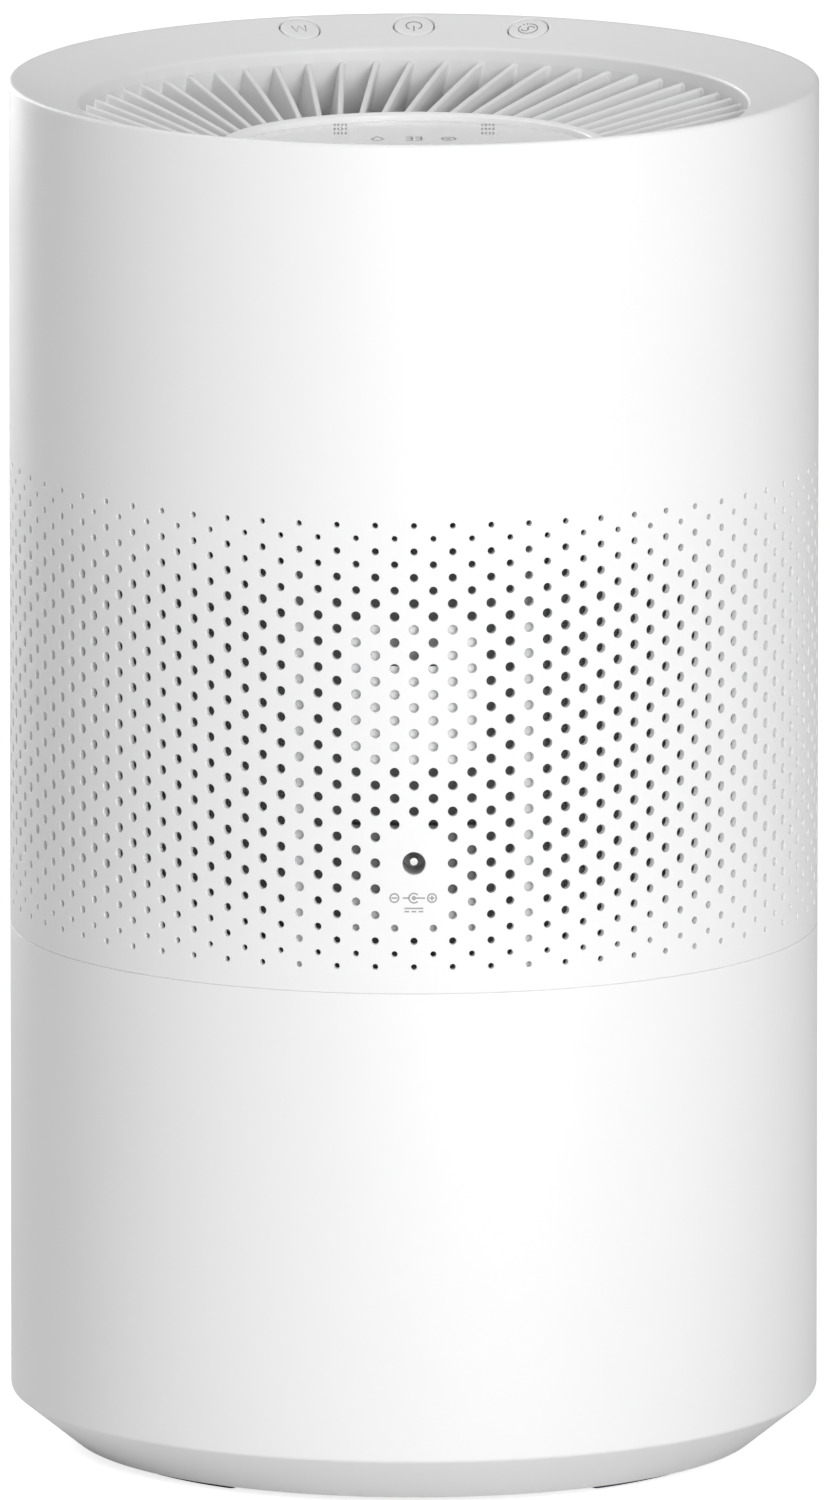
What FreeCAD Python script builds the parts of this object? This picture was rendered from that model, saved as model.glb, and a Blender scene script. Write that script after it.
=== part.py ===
import FreeCAD, Part
import math
import os

# Round evaporative air purifier: a water tank, a wick filter that stands in it, and a head that lifts off.
# The axis of the drum is Z, the floor is z = 0, the power inlet faces -Y and the keys are on the +Y side.
# A bearing is an angle in degrees from -Y, counter-clockwise seen from above. Sizes are in millimetres.

V = FreeCAD.Vector
Z = V(0, 0, 1)
ORIGIN = V(0, 0, 0)

# ---- drum ----
body_r = 113.0              # outside radius
wall = 1.8                  # shell and tank wall
foot_h = 2.0                # rubber feet below the base
base_in = 17.0              # base chamfer, inwards
base_up = 13.5              # base chamfer, upwards
tank_h = 145.4              # tank, underside to rim
seam_gap = 0.5              # shadow line between tank and head
head_h = 238.0              # head, lower edge to crest
fit = 0.2                   # gap between pieces of one body
slip = 0.6                  # gap between pieces that lift apart

# ---- feet ----
foot_bearings = (43.5, 136.5, 223.5, 316.5)
foot_span = 19.0
foot_w = 8.4
foot_inset = 5.6            # edge of the base to a foot
foot_sink = 0.6             # depth of the recess that holds a foot

# ---- tank ----
tank_floor = 3.0
ledge_drop = 6.0            # rim of the tank down to the ledge that carries the head
ledge_w = 3.6
ledge_h = 2.0

# ---- air inlet holes ----
columns = 132
row_pitch = 3.647           # half rows: even columns use even rows, odd columns odd rows
row_drop = 106.6            # crest down to the first row
plain_below = 7.4           # last row down to the lower edge of the head
hole_d = 2.7
end_hole_d = (1.6, 1.98, 2.3)
plain_above = 5.0           # plain wall above the first row that still belongs to the band

# ---- power inlet ----
jack_rows_up = 8             # half rows between the inlet and the last row
jack_hole_r = 3.15
jack_bore_r = 3.2
jack_pin_r = 1.05
jack_w = 9.2
jack_h = 10.0
jack_depth = 13.7
jack_bore_depth = 9.5
jack_front = 0.5            # inside of the shell to the front of the socket
board_t = 1.6

# ---- rim and dish ----
rim_r = 1.2
dish_w = 19.8               # outside of the drum in to the throat
dish_drop = 6.8
throat_drop = 10.3          # crest down to the joint between shell and grille
lip_r = 0.9

# ---- outlet grille ----
blades = 60
blade_t = 1.7
blade_h = 15.0
blade_lean = 11.0           # degrees from upright
blade_sweep = 7.2           # degrees between the two radii below
blade_phase = 0.6
blade_gap_out = 0.5         # throat in to the radius where blade_drop_out holds
blade_gap_in = 4.5          # hub out to the radius where blade_drop_in holds
blade_drop_out = 10.6
blade_drop_in = 19.2
grille_drop = 30.0          # crest down to the lower edge of the grille ring
hub_wall = 2.5
hub_drop = 36.0

# ---- display ----
bezel_drop = 18.2
bezel_seat_drop = 24.0
display_r = 51.2
bezel_w = 5.3               # edge of the display to the outside of its ring
display_drop = 20.5
lens_t = 1.5
lens_ledge = 2.8
display_board_inset = 5.2
display_board_drop = 28.4
pillar_r = 3.0
pillar_inset = 8.0

# ---- keys ----
key_r = 5.6
key_gap = 0.3
key_inset = 8.0             # outside of the drum in to the keys
key_bearings = {"key_mode": 197.8, "key_power": 180.0, "key_dry": 162.2}
key_stem_r = 1.2
key_flange_r = 7.2
key_flange_t = 1.0
key_travel = 0.8
key_board_depth = 8.0       # dish surface down to the key board
key_board_t = 1.2
key_board_span = 58.0
key_pillar_bearings = (153.0, 207.0)
switch_side = 4.0
switch_h = 3.0
flange_gap = 2.6            # outer wall to the key flange

# ---- fan deck, housing and diffuser ----
deck_over_row = 6.7         # first row up to the underside of the deck
deck_t = 2.4
inlet_step = 2.0            # filter bore to fan inlet
shell_ledge_w = 4.6
shell_ledge_t = 2.0
seal_inset = 4.0            # rim of the filter ring to the seal, both sides
seal_t = 3.2
seal_gap = 0.3              # seal to filter, so that the filter lifts freely
housing_h = 41.6
duct_step = 5.2             # throat in to the fan duct
duct_wall = 2.2
ear_bearings = (30, 90, 150, 210, 270, 330)
ear_out = 6.5               # duct out to the screws
ear_r = 5.0
ear_t = 2.5
motor_plate_inset = 6.5     # hub in to the motor plate
motor_plate_t = 2.5
stator_vanes = 12
vane_h = 14.0
vane_t = 2.0

# ---- motor and impeller ----
shaft_r = 2.0
shaft_play = 0.05
bearing_r = 6.5
bearing_w = 4.0
bearing_tube_wall = 2.0
can_r = 25.0
can_wall = 1.4
can_over_deck = 15.6
can_h = 20.0
magnet_t = 2.0
air_gap = 0.5
stator_poles = 9
impeller_blades = 9
impeller_blade_t = 2.0
impeller_over_deck = 2.6
impeller_gap = 2.2          # tip to duct

# ---- inner frame, sleeve and rear panel ----
frame_w = 8.1               # shell in to the inner edge of the frame rings
frame_top_t = 3.0
frame_base_up = 5.1         # head lower edge up to the top of the base ring
rail_bearing = 16.4
rail_span = 3.0
sleeve_inset = 4.6
sleeve_t = 1.2
panel_inset = 7.1
panel_t = 2.0
post_bearings = (60, 120, 180, 240, 300)
post_w = 4.0

# ---- sensor box and jack bracket, placed by hole rows ----
box_span = 18.8
box_rows_up = (18.5, 7.5)   # half rows from the inlet up to the top and bottom of the box
box_wall = 1.6
window_rows_up = (17.5, 15.1)
window_w = 14.0
window_corner_r = 3.0
bracket_rows_up = (2.8, -5.5)

# ---- wick filter ----
filter_r_out = 82.9
filter_w = 24.9
ring_lip = 1.3
ring_h = 6.0
ring_floor = 1.5
pleats = 72
wick_gap_out = 1.7          # ring edge to pleat tips, outside
wick_gap_in = 4.4           # ring edge to pleat tips, inside
wick_t = 1.6
core_gap = 1.8              # ring bore to the cage
core_t = 1.6
core_bars = 12
core_hoops = 7
seat_base_t = 1.5
seat_wall_h = 11.0
seat_wall_t = 2.5

# ---- float ----
float_inset = 14.6          # tank wall in to the middle of the float
float_r = 9.0
float_h = 16.0
float_play = 0.35
guide_r = 2.5
guide_base_h = 9.0
guide_base_r = 7.5
guide_drop = 2.4            # ledge down to the top of the post

# ---- boards ----
main_w = 70.0
main_h = 34.0
main_inset = 10.1
main_over_deck = 3.6
lead_r = 1.2
lead_x = (6.5, 10.5)
lead_out = 12.5             # main board in to the leads
lead_bend = 4.0

# ---- places worked out from the sizes ----
tank_z = foot_h
seam_z = tank_z + tank_h
head_z = seam_z + seam_gap
crest_z = head_z + head_h
row0_z = crest_z - row_drop
band_top_z = row0_z + plain_above
rows = 1 + 2 * round((head_h - row_drop - plain_below) / (2 * row_pitch))
jack_row = rows - 1 - jack_rows_up
jack_z = row0_z - jack_row * row_pitch
box_rows = tuple(jack_row - up for up in box_rows_up)
bracket_rows = tuple(jack_row - up for up in bracket_rows_up)
window_rows = tuple(jack_row - up for up in window_rows_up)
rail_row = box_rows[0]
floor_z = tank_z + tank_floor
ledge_z = seam_z - ledge_drop
guide_top_z = ledge_z - guide_drop
deck_z = row0_z + deck_over_row
deck_top_z = deck_z + deck_t
housing_top_z = deck_top_z + housing_h
can_z = deck_top_z + can_over_deck
impeller_z = deck_top_z + impeller_over_deck
main_z = deck_top_z + main_over_deck
frame_base_z = head_z + frame_base_up
frame_top_z = deck_z - frame_top_t
inner_r = body_r - wall
base_r = body_r - base_in
foot_r_out = base_r - foot_inset
foot_r_in = foot_r_out - foot_w
frame_r_in = inner_r - frame_w
sleeve_r = inner_r - sleeve_inset
panel_r = inner_r - panel_inset
float_ring_r = inner_r - float_inset
main_y = -(inner_r - main_inset)
lead_y = main_y + lead_out
throat_r = body_r - dish_w
duct_r = throat_r - duct_step
ear_ring_r = duct_r + ear_out
impeller_r = duct_r - impeller_gap
key_ring_r = body_r - key_inset
hub_r = display_r + bezel_w
display_board_r = display_r - display_board_inset
pillar_ring_r = display_board_r - pillar_inset
motor_plate_r = hub_r - motor_plate_inset
blade_r_out = throat_r - blade_gap_out
blade_r_in = hub_r + blade_gap_in
filter_r_in = filter_r_out - filter_w
wick_r_out = filter_r_out - wick_gap_out
wick_r_in = filter_r_in + wick_gap_in
core_r = filter_r_in + core_gap
seal_r_in = filter_r_in + seal_inset
seal_r_out = filter_r_out - seal_inset
inlet_r = filter_r_in + inlet_step
rim_in_r = body_r - 2 * rim_r
dish_top_z = crest_z - 0.4
dish_slope = math.atan((dish_top_z - (crest_z - dish_drop)) / (rim_in_r - throat_r))


def row_z(row):
    return row0_z - row * row_pitch


def spot(r, bearing, z=0.0):
    a = math.radians(bearing)
    return V(r * math.sin(a), -r * math.cos(a), z)


def turned(shape, bearing):
    copy = shape.copy()
    copy.rotate(ORIGIN, Z, bearing)
    return copy


def outline(points):
    """Closed wire in the radius-height plane. (r, z) is reached by a line and (r, z, r_via, z_via) by an arc."""
    edges = []
    for here, there in zip(points, points[1:] + points[:1]):
        a = V(here[0], 0, here[1])
        b = V(there[0], 0, there[1])
        if len(there) == 4:
            edges.append(Part.Arc(a, V(there[2], 0, there[3]), b).toShape())
        else:
            edges.append(Part.LineSegment(a, b).toShape())
    return Part.Wire(edges)


def lathe(points):
    return Part.Face(outline(points)).revolve(ORIGIN, Z, 360)


def tube(r_in, r_out, z0, z1):
    outer = Part.makeCylinder(r_out, z1 - z0, V(0, 0, z0))
    return outer.cut(Part.makeCylinder(r_in, z1 - z0, V(0, 0, z0)))


def sector(r_in, r_out, z0, z1, bearing0, bearing1):
    span = bearing1 - bearing0
    outer = Part.makeCylinder(r_out, z1 - z0, V(0, 0, z0), Z, span)
    piece = outer.cut(Part.makeCylinder(r_in, z1 - z0, V(0, 0, z0), Z, span))
    piece.rotate(ORIGIN, Z, bearing0 - 90)
    return piece


def block(x0, x1, y0, y1, z0, z1):
    return Part.makeBox(x1 - x0, y1 - y0, z1 - z0, V(x0, y0, z0))


def rod(r, start, end):
    return Part.makeCylinder(r, (end - start).Length, start, end - start)


def radial_block(r0, r1, width, z0, z1, bearing):
    return turned(block(-width / 2, width / 2, -r1, -r0, z0, z1), bearing)


def screw(head_at, direction, d, length, grow=0.0):
    """Pan-head screw: the underside of its head is at head_at and the shank points along direction."""
    shank = rod(d / 2 + grow, head_at, head_at + direction * length)
    head = rod(d + grow, head_at, head_at - direction * 0.6 * d)
    recess = rod(0.28 * d, head_at - direction * 0.6 * d, head_at - direction * 0.25 * d)
    return shank.fuse(head).cut(recess) if not grow else shank.fuse(head)


def save(node, shapes):
    solids = []
    for shape in shapes if isinstance(shapes, list) else [shapes]:
        solids += shape.Solids
    whole = solids[0] if len(solids) == 1 else Part.makeCompound(solids)
    if not whole.isValid():
        raise ValueError(node + " is not valid")
    whole.exportStep("parts/" + node + ".step")
    print(node, len(solids), "solids", round(sum(s.Volume for s in solids) / 1000, 2), "cm3")


# ---- tank ----

def tank_shell():
    ledge_r = inner_r - ledge_w
    step = ledge_w
    shell = lathe([
        (0, tank_z), (base_r, tank_z), (body_r, tank_z + base_up), (body_r, seam_z), (inner_r, seam_z),
        (inner_r, ledge_z), (ledge_r, ledge_z), (ledge_r, ledge_z - ledge_h), (inner_r, ledge_z - ledge_h - step),
        (inner_r, tank_z + base_up + 1.0), (base_r - 1.0, floor_z), (0, floor_z)])
    for bearing in foot_bearings:
        shell = shell.cut(foot(bearing, fit))
    return shell


def foot(bearing, grow=0.0):
    half = foot_span / 2 + math.degrees(grow / foot_r_out)
    low = tank_z - foot_h
    return sector(foot_r_in - grow, foot_r_out + grow, low, tank_z + foot_sink, bearing - half, bearing + half)


def filter_seat():
    r_in = filter_r_out + slip
    base = tube(filter_r_in - 2, r_in + seat_wall_t, floor_z, floor_z + seat_base_t)
    rim = tube(r_in, r_in + seat_wall_t, floor_z, floor_z + seat_wall_h)
    seat = base.fuse(rim)
    for i in range(12):
        notch = radial_block(r_in - 1, r_in + seat_wall_t + 1, 10, floor_z + seat_base_t + 2, floor_z + tank_h, i * 30 + 15)
        seat = seat.cut(notch)
    return seat


def float_guide():
    """Post for the float. Its base is trimmed to the sloping floor of the tank."""
    at = V(float_ring_r, 0, floor_z)
    post = rod(guide_r, V(float_ring_r, 0, floor_z + guide_base_h - 1), V(float_ring_r, 0, guide_top_z))
    room = lathe([
        (0, floor_z), (base_r - 1.0, floor_z), (inner_r, tank_z + base_up + 1.0), (inner_r, seam_z), (0, seam_z)])
    base = Part.makeCylinder(guide_base_r, guide_base_h, at).common(room)
    cap = Part.makeCylinder(4.2, 2.0, V(float_ring_r, 0, guide_top_z - 2))
    return base.fuse([post, cap])


# ---- float ----

def float_pieces():
    z = floor_z + guide_base_h
    at = V(float_ring_r, 0, z)
    top = V(float_ring_r, 0, z + float_h - 3)
    magnet = Part.makeCylinder(6.4, 3, top).cut(Part.makeCylinder(4.0, 3, top))
    body = Part.makeCylinder(float_r, float_h, at).cut(Part.makeCylinder(guide_r + float_play, float_h, at))
    return body.cut(magnet), magnet


# ---- filter ----

filter_z = floor_z + seat_base_t
filter_top_z = deck_z - seal_t - seal_gap


def end_ring(z, up):
    far = z + up * ring_h
    near = z + up * ring_floor
    return lathe([
        (filter_r_in, z), (filter_r_out, z), (filter_r_out, far), (filter_r_out - ring_lip, far),
        (filter_r_out - ring_lip, near), (filter_r_in + ring_lip, near), (filter_r_in + ring_lip, far),
        (filter_r_in, far)])


def wick():
    low = filter_z + ring_floor
    high = filter_top_z - ring_floor
    half = 180.0 / pleats
    turn = wick_t / wick_r_out * 60
    points = []
    for i in range(pleats):
        at = 2 * half * i
        points += [spot(wick_r_out, at - turn / 2, low), spot(wick_r_out, at + turn / 2, low)]
        points += [spot(wick_r_in + wick_t, at + half, low)]
    outer = points
    inner = []
    for i in range(pleats):
        at = 2 * half * i
        inner += [spot(wick_r_out - 2.2 * wick_t, at, low)]
        inner += [spot(wick_r_in, at + half - turn * 0.7, low), spot(wick_r_in, at + half + turn * 0.7, low)]
    body = Part.Face(Part.makePolygon(outer + outer[:1])).extrude(V(0, 0, high - low))
    return body.cut(Part.Face(Part.makePolygon(inner + inner[:1])).extrude(V(0, 0, high - low)))


def filter_core():
    low = filter_z + ring_floor
    high = filter_top_z - ring_floor
    step = (high - low - 3) / (core_hoops - 1)
    hoops = [tube(core_r, core_r + core_t, low + i * step, low + i * step + 3) for i in range(core_hoops)]
    half = math.degrees(1.5 / core_r)
    bars = [sector(core_r, core_r + core_t, low, high, i * 30 - half, i * 30 + half) for i in range(core_bars)]
    return hoops[0].fuse(hoops[1:] + bars).removeSplitter()


# ---- head: shells ----

def dish_z(r):
    return dish_top_z - (rim_in_r - r) * math.tan(dish_slope)


def key_axis(bearing):
    """Direction in which a key is pressed: straight into the dish."""
    out = spot(1, bearing)
    return V(out.x * math.sin(dish_slope), out.y * math.sin(dish_slope), -math.cos(dish_slope))


def key_centre(bearing):
    return spot(key_ring_r, bearing, dish_z(key_ring_r))


def upper_shell():
    lip_z = dish_z(throat_r + 2 * lip_r)
    low_z = crest_z - throat_drop
    throat_out = throat_r + duct_wall
    ledge_r = inner_r - shell_ledge_w
    bend = rim_r * (1 - math.sqrt(0.5))
    shell = lathe([
        (body_r, band_top_z), (body_r, crest_z - rim_r), (body_r - rim_r, crest_z, body_r - bend, crest_z - bend),
        (rim_in_r, dish_top_z, body_r - 1.55 * rim_r, crest_z - 0.08), (throat_r + 2 * lip_r, lip_z),
        (throat_r, lip_z - 1.4 * lip_r, throat_r + 0.45 * lip_r, lip_z - 0.42 * lip_r), (throat_r, low_z),
        (throat_out, low_z), (throat_out, dish_z(throat_out) - wall), (inner_r - 1.5, dish_z(inner_r) - wall),
        (inner_r, dish_z(inner_r) - wall - 1.5), (inner_r, deck_top_z + shell_ledge_t + shell_ledge_w),
        (ledge_r, deck_top_z + shell_ledge_t), (ledge_r, deck_top_z), (inner_r, deck_top_z), (inner_r, band_top_z)])
    for bearing in key_bearings.values():
        at = key_centre(bearing)
        push = key_axis(bearing)
        shell = shell.cut(rod(key_r + key_gap, at - push * 9, at + push * 5))
    for bearing in key_pillar_bearings:
        at = spot(key_ring_r, bearing, dish_z(key_ring_r))
        push = key_axis(bearing)
        shell = shell.fuse(rod(2.6, at + push * 1.0, at + push * key_board_depth))
    return shell.cut(Part.makeCompound(key_screws(0.05)))


def hole_r(row):
    pair = min(row, rows - 1 - row) // 2
    return (end_hole_d[pair] if pair < len(end_hole_d) else hole_d) / 2


def flats(r, first, count):
    """Corners, at radius r, of the flats that carry count hole columns from column first on."""
    pitch = 360.0 / columns
    return [spot(r, (first - 0.5 + i) * pitch, head_z) for i in range(count + 1)]


def band_sector(first, count, jack):
    """Wall of count hole columns from column first on, drilled, without its two cut sides."""
    pitch = 360.0 / columns
    corners = flats(body_r, first, count) + flats(inner_r, first, count)[::-1]
    piece = Part.Face(Part.makePolygon(corners + corners[:1])).extrude(V(0, 0, band_top_z - head_z))
    ends = [V(-math.cos(math.radians(c * pitch)), -math.sin(math.radians(c * pitch)), 0)
            for c in (first - 0.5, first + count - 0.5)]
    drills = []
    for column in range(first, first + count):
        for row in range(column % 2, rows, 2):
            near_jack = jack and abs(column) < 2 and abs(row - jack_row - 1) < 4 - abs(column)
            if not near_jack:
                start = spot(inner_r - 3, column * pitch, row_z(row))
                drills.append(rod(hole_r(row), start, spot(body_r + 2, column * pitch, row_z(row))))
    if jack:
        drills.append(rod(jack_hole_r, spot(inner_r - 3, 0, jack_z), spot(body_r + 2, 0, jack_z)))
    piece = piece.cut(Part.makeCompound(drills))

    def is_side(face):
        if not isinstance(face.Surface, Part.Plane):
            return False
        across = face.normalAt(0, 0)
        return any(abs(across.dot(end)) > 0.99999 and abs(face.CenterOfMass.dot(end)) < 0.01 for end in ends)

    return [face for face in piece.Faces if not is_side(face)]


def band_end(column):
    """Flat end of a part of the perforated wall, between this column and the one before it."""
    bearing = (column - 0.5) * 360.0 / columns
    corners = [spot(r, bearing, z) for r, z in (
        (body_r, head_z), (body_r, band_top_z), (inner_r, band_top_z), (inner_r, head_z))]
    return Part.Face(Part.makePolygon(corners + corners[:1]))


def inlet_band():
    """The perforated wall in four parts: one drilled pair of columns, repeated, closed at the ends and sewn.

    Each column of holes lies on a narrow flat whose corners are on the round of the drum.
    """
    pairs = (columns - 4) // 2
    share = pairs // 4
    pair = band_sector(2, 2, False)
    quarters = [band_sector(-2, 4, True), [], [], []]
    for i in range(pairs):
        quarter = quarters[(i + share // 2) // share % 4]
        quarter += [turned(face, i * 720.0 / columns) for face in pair]
    solids = []
    for k, faces in enumerate(quarters):
        first = 2 + share * (2 * k - 1)
        last = first + 2 * share if k else 2 + share
        if not k:
            first = -2 - share
        skin = Part.makeCompound(faces + [band_end(first), band_end(last)])
        skin.sewShape(1e-4)
        solids.append(Part.makeSolid(skin.Shells[0]))
    return solids


# ---- head: inner frame, sleeve, rear panel and what it carries ----

def inner_frame():
    skirt_r = inner_r - slip
    ring_r = inner_r - fit
    base = lathe([
        (frame_r_in, ledge_z), (skirt_r, ledge_z), (skirt_r, head_z), (ring_r, head_z), (ring_r, frame_base_z),
        (frame_r_in, frame_base_z)])
    top = tube(frame_r_in, ring_r, frame_top_z, deck_z)
    parts = [top]
    half = rail_span / 2
    for side in (-rail_bearing, rail_bearing):
        low, high = side - half, side + half
        parts.append(sector(panel_r, ring_r, frame_base_z, row_z(rail_row), low, high))
        parts.append(sector(panel_r, sleeve_r + sleeve_t, frame_base_z, frame_top_z, low, high))
    for bearing in post_bearings:
        parts.append(radial_block(frame_r_in + 0.2, sleeve_r - 0.4, post_w, frame_base_z, frame_top_z, bearing))
    return base.fuse(parts).removeSplitter().cut(Part.makeCompound(deck_screws(0.05)))


def prefilter_mesh():
    edge = rail_bearing + rail_span / 2 + 0.1
    return sector(sleeve_r, sleeve_r + sleeve_t, frame_base_z, frame_top_z, edge, 360 - edge)


def rear_panel():
    edge = rail_bearing - rail_span / 2 - 0.1
    panel = sector(panel_r, panel_r + panel_t, frame_base_z, frame_top_z, -edge, edge)
    return panel.cut(jack_block(fit))


def pocket_cover(row_span):
    """Curved tray that stands on the rear panel and is open towards it."""
    half = box_span / 2
    r0 = panel_r + panel_t + 0.1
    r1 = inner_r - 0.6
    z0, z1 = row_z(row_span[1]), row_z(row_span[0])
    inset = math.degrees(box_wall / r1)
    tray = sector(r0, r1, z0, z1, -half, half)
    return tray.cut(sector(r0, r1 - box_wall, z0 + box_wall, z1 - box_wall, -half + inset, half - inset))


def sensor_box():
    """Light cover with a low window whose two upper corners are round."""
    half = window_w / 2
    low, high = row_z(window_rows[1]), row_z(window_rows[0])
    corner = window_corner_r
    window = block(-half, half, -body_r, -panel_r, low, high - corner)
    window = window.fuse(block(corner - half, half - corner, -body_r, -panel_r, low, high))
    for x in (corner - half, half - corner):
        window = window.fuse(rod(corner, V(x, -panel_r, high - corner), V(x, -body_r, high - corner)))
    return pocket_cover(box_rows).cut(window)


def humidity_sensor():
    y = -(panel_r + panel_t)
    top = row_z(window_rows[0])
    board = block(-8, 8, y - 1.5, y - 0.3, top - 20, top + 1)
    chip = block(-2, 2, y - 2.4, y - 1.5, top - 6, top - 3)
    return board.fuse(chip)


def jack_block(grow=0.0):
    front = -(inner_r - jack_front)
    half = jack_w / 2 + grow
    low, high = jack_z - jack_h / 2 - grow, jack_z + jack_h / 2 + grow
    return block(-half, half, front - grow, front + jack_depth, low, high)


def jack_pieces():
    front = -(inner_r - jack_front)
    bore = rod(jack_bore_r, V(0, front - 1, jack_z), V(0, front + jack_bore_depth, jack_z))
    pin = rod(jack_pin_r, V(0, front + 0.8, jack_z), V(0, front + jack_bore_depth, jack_z))
    back = front + jack_depth
    board = block(-12, 12, back, back + board_t, jack_z - 12, jack_z + 12)
    return jack_block().cut(bore), pin, board


# ---- head: air path ----

def deck_screws(grow=0.0):
    """Screws that hold the deck down on the top ring of the inner frame."""
    d = 1.8
    r = inner_r - shell_ledge_w - fit - d
    return [screw(spot(r, b, deck_top_z), -Z, d, deck_t + 2.4, grow) for b in ear_bearings]


def fan_deck():
    deck = tube(inlet_r, inner_r - fit, deck_z, deck_top_z)
    for side in (-1, 1):
        x = side * (main_w / 2 + fit)
        post = block(min(x, x + side * 3), max(x, x + side * 3), main_y - 2.5, main_y + 3.5, deck_top_z, main_z + 10)
        foot_block = block(min(x - side * 4, x), max(x - side * 4, x), main_y - 2.5, main_y + 3.5, deck_top_z, main_z)
        inside = Part.makeCylinder(inner_r - shell_ledge_w - fit, main_z + 10 - deck_z, V(0, 0, deck_z))
        deck = deck.fuse([post.common(inside), foot_block.common(inside)])
    for x in lead_x:
        deck = deck.cut(rod(lead_r + 0.6, V(x, lead_y, deck_z - 1), V(x, lead_y, deck_top_z + 1)))
    return deck


def ears(z0, z1, r_duct):
    parts = []
    for bearing in ear_bearings:
        lug = rod(ear_r, spot(ear_ring_r, bearing, z0), spot(ear_ring_r, bearing, z1))
        parts.append(lug.fuse(radial_block(r_duct + 0.3, ear_ring_r, 2 * ear_r, z0, z1, bearing)))
    return parts


def housing_screws(grow=0.0):
    z = housing_top_z - ear_t
    return [screw(spot(ear_ring_r + 1, b, z), Z, 2.6, 2 * ear_t + 1, grow) for b in ear_bearings]


def fan_housing():
    z1 = housing_top_z
    cone_z = z1 - 6.5
    shell = lathe([
        (inlet_r, deck_top_z), (inlet_r, deck_top_z + 3.6), (duct_r, cone_z), (duct_r, z1), (duct_r + duct_wall, z1),
        (duct_r + duct_wall, cone_z - 0.9), (inlet_r + 2.8, deck_top_z + 2.6), (inlet_r + 12, deck_top_z + 2.4),
        (inlet_r + 12, deck_top_z)])
    return shell.fuse(ears(z1 - ear_t, z1, duct_r)).cut(Part.makeCompound(housing_screws(0.05)))


def diffuser():
    z0 = housing_top_z
    z1 = crest_z - grille_drop
    shell = lathe([(duct_r, z0), (duct_r + duct_wall, z0), (throat_r + duct_wall, z1), (throat_r, z1)])
    plate_z = z0 + 3
    inner = duct_r + (throat_r - duct_r) * (plate_z - z0) / (z1 - z0)
    outer = duct_r + (throat_r - duct_r) * (plate_z + vane_h - z0) / (z1 - z0)
    reach = lathe([(0, plate_z), (inner + 1.1, plate_z), (outer + 1.1, plate_z + vane_h), (0, plate_z + vane_h)])
    plate = Part.makeCylinder(motor_plate_r, motor_plate_t, V(0, 0, plate_z))
    skirt = tube(motor_plate_r - 2, motor_plate_r, plate_z, plate_z + vane_h)
    parts = [plate, skirt] + ears(z0, z0 + ear_t, duct_r)
    for i in range(stator_vanes):
        parts.append(radial_block(motor_plate_r - 1, throat_r + 6, vane_t, plate_z, plate_z + vane_h, i * 30 + 15).common(reach))
    cuts = housing_screws(0.05) + motor_screws(0.05)
    return shell.fuse(parts).removeSplitter().cut(Part.makeCompound(cuts))


def blade():
    """One straight blade: a leaning slat with a rounded top, longer than its gap so that it enters both rings."""
    out = V(blade_r_out, 0, crest_z - blade_drop_out)
    turn = math.radians(blade_sweep)
    into = V(blade_r_in * math.cos(turn), blade_r_in * math.sin(turn), crest_z - blade_drop_in)
    along = out - into
    flat = V(along.x, along.y, 0)
    reach = flat.dot(flat)
    lead = into.x * flat.x + into.y * flat.y

    def at_radius(r):
        return (math.sqrt(lead * lead + reach * (r * r - blade_r_in ** 2)) - lead) / reach

    t0 = at_radius(hub_r - 1.2)
    t1 = at_radius(throat_r + 1.1)
    top = into + along * t0
    side = V(-flat.y, flat.x, 0).normalize()
    lean = side * math.tan(math.radians(blade_lean))
    half = blade_t / 2
    shoulder = V(0, 0, -half)
    a = top - side * half + shoulder
    b = top + side * half + shoulder
    down = (lean - Z) * (blade_h - half)
    edges = [
        Part.Arc(a, top, b).toShape(), Part.LineSegment(b, b + down).toShape(),
        Part.LineSegment(b + down, a + down).toShape(), Part.LineSegment(a + down, a).toShape()]
    return Part.Face(Part.Wire(edges)).extrude(along * (t1 - t0))


def outlet_grille():
    ring = tube(throat_r, throat_r + duct_wall, crest_z - grille_drop, crest_z - throat_drop)
    hub = lathe([
        (0, crest_z - hub_drop), (hub_r, crest_z - hub_drop), (hub_r, crest_z - bezel_seat_drop),
        (hub_r - hub_wall, crest_z - bezel_seat_drop), (hub_r - hub_wall, crest_z - hub_drop + 2),
        (0, crest_z - hub_drop + 2)])
    slat = blade()
    slats = [turned(slat, blade_phase + i * 360.0 / blades) for i in range(blades)]
    board_under = crest_z - display_board_drop - board_t
    pillars = [rod(pillar_r, spot(pillar_ring_r, b, crest_z - hub_drop + 1), spot(pillar_ring_r, b, board_under))
               for b in (45, 135, 225, 315)]
    grille = ring.fuse([hub] + slats + pillars)
    seat_z = crest_z - bezel_seat_drop
    seat = Part.makeCylinder(hub_r, bezel_seat_drop, V(0, 0, seat_z))
    return grille.cut(Part.makeCompound(display_screws(0.05) + [seat]))


def motor_screws(grow=0.0):
    z = housing_top_z + 1.0
    return [screw(spot(22, b, z), Z, 2.6, motor_plate_t + 1.4, grow) for b in (30, 150, 270)]


def display_screws(grow=0.0):
    z = crest_z - display_board_drop
    return [screw(spot(pillar_ring_r, b, z), -Z, 2.0, 5.0, grow) for b in (45, 135, 225, 315)]


# ---- head: display ----

def display_bezel():
    top = crest_z - bezel_drop
    seat = crest_z - bezel_seat_drop
    ledge = crest_z - display_drop - lens_t
    r = display_r + 0.1
    crest_r = r + 2.6
    return lathe([
        (r - lens_ledge, seat), (r - lens_ledge, ledge), (r, ledge), (r, top - 1.4),
        (crest_r, top, r + 0.75, top - 0.4), (hub_r, top - 2.4, hub_r - 0.75, top - 0.75), (hub_r, seat)])


def display_lens():
    return Part.makeCylinder(display_r, lens_t, V(0, 0, crest_z - display_drop - lens_t))


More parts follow.
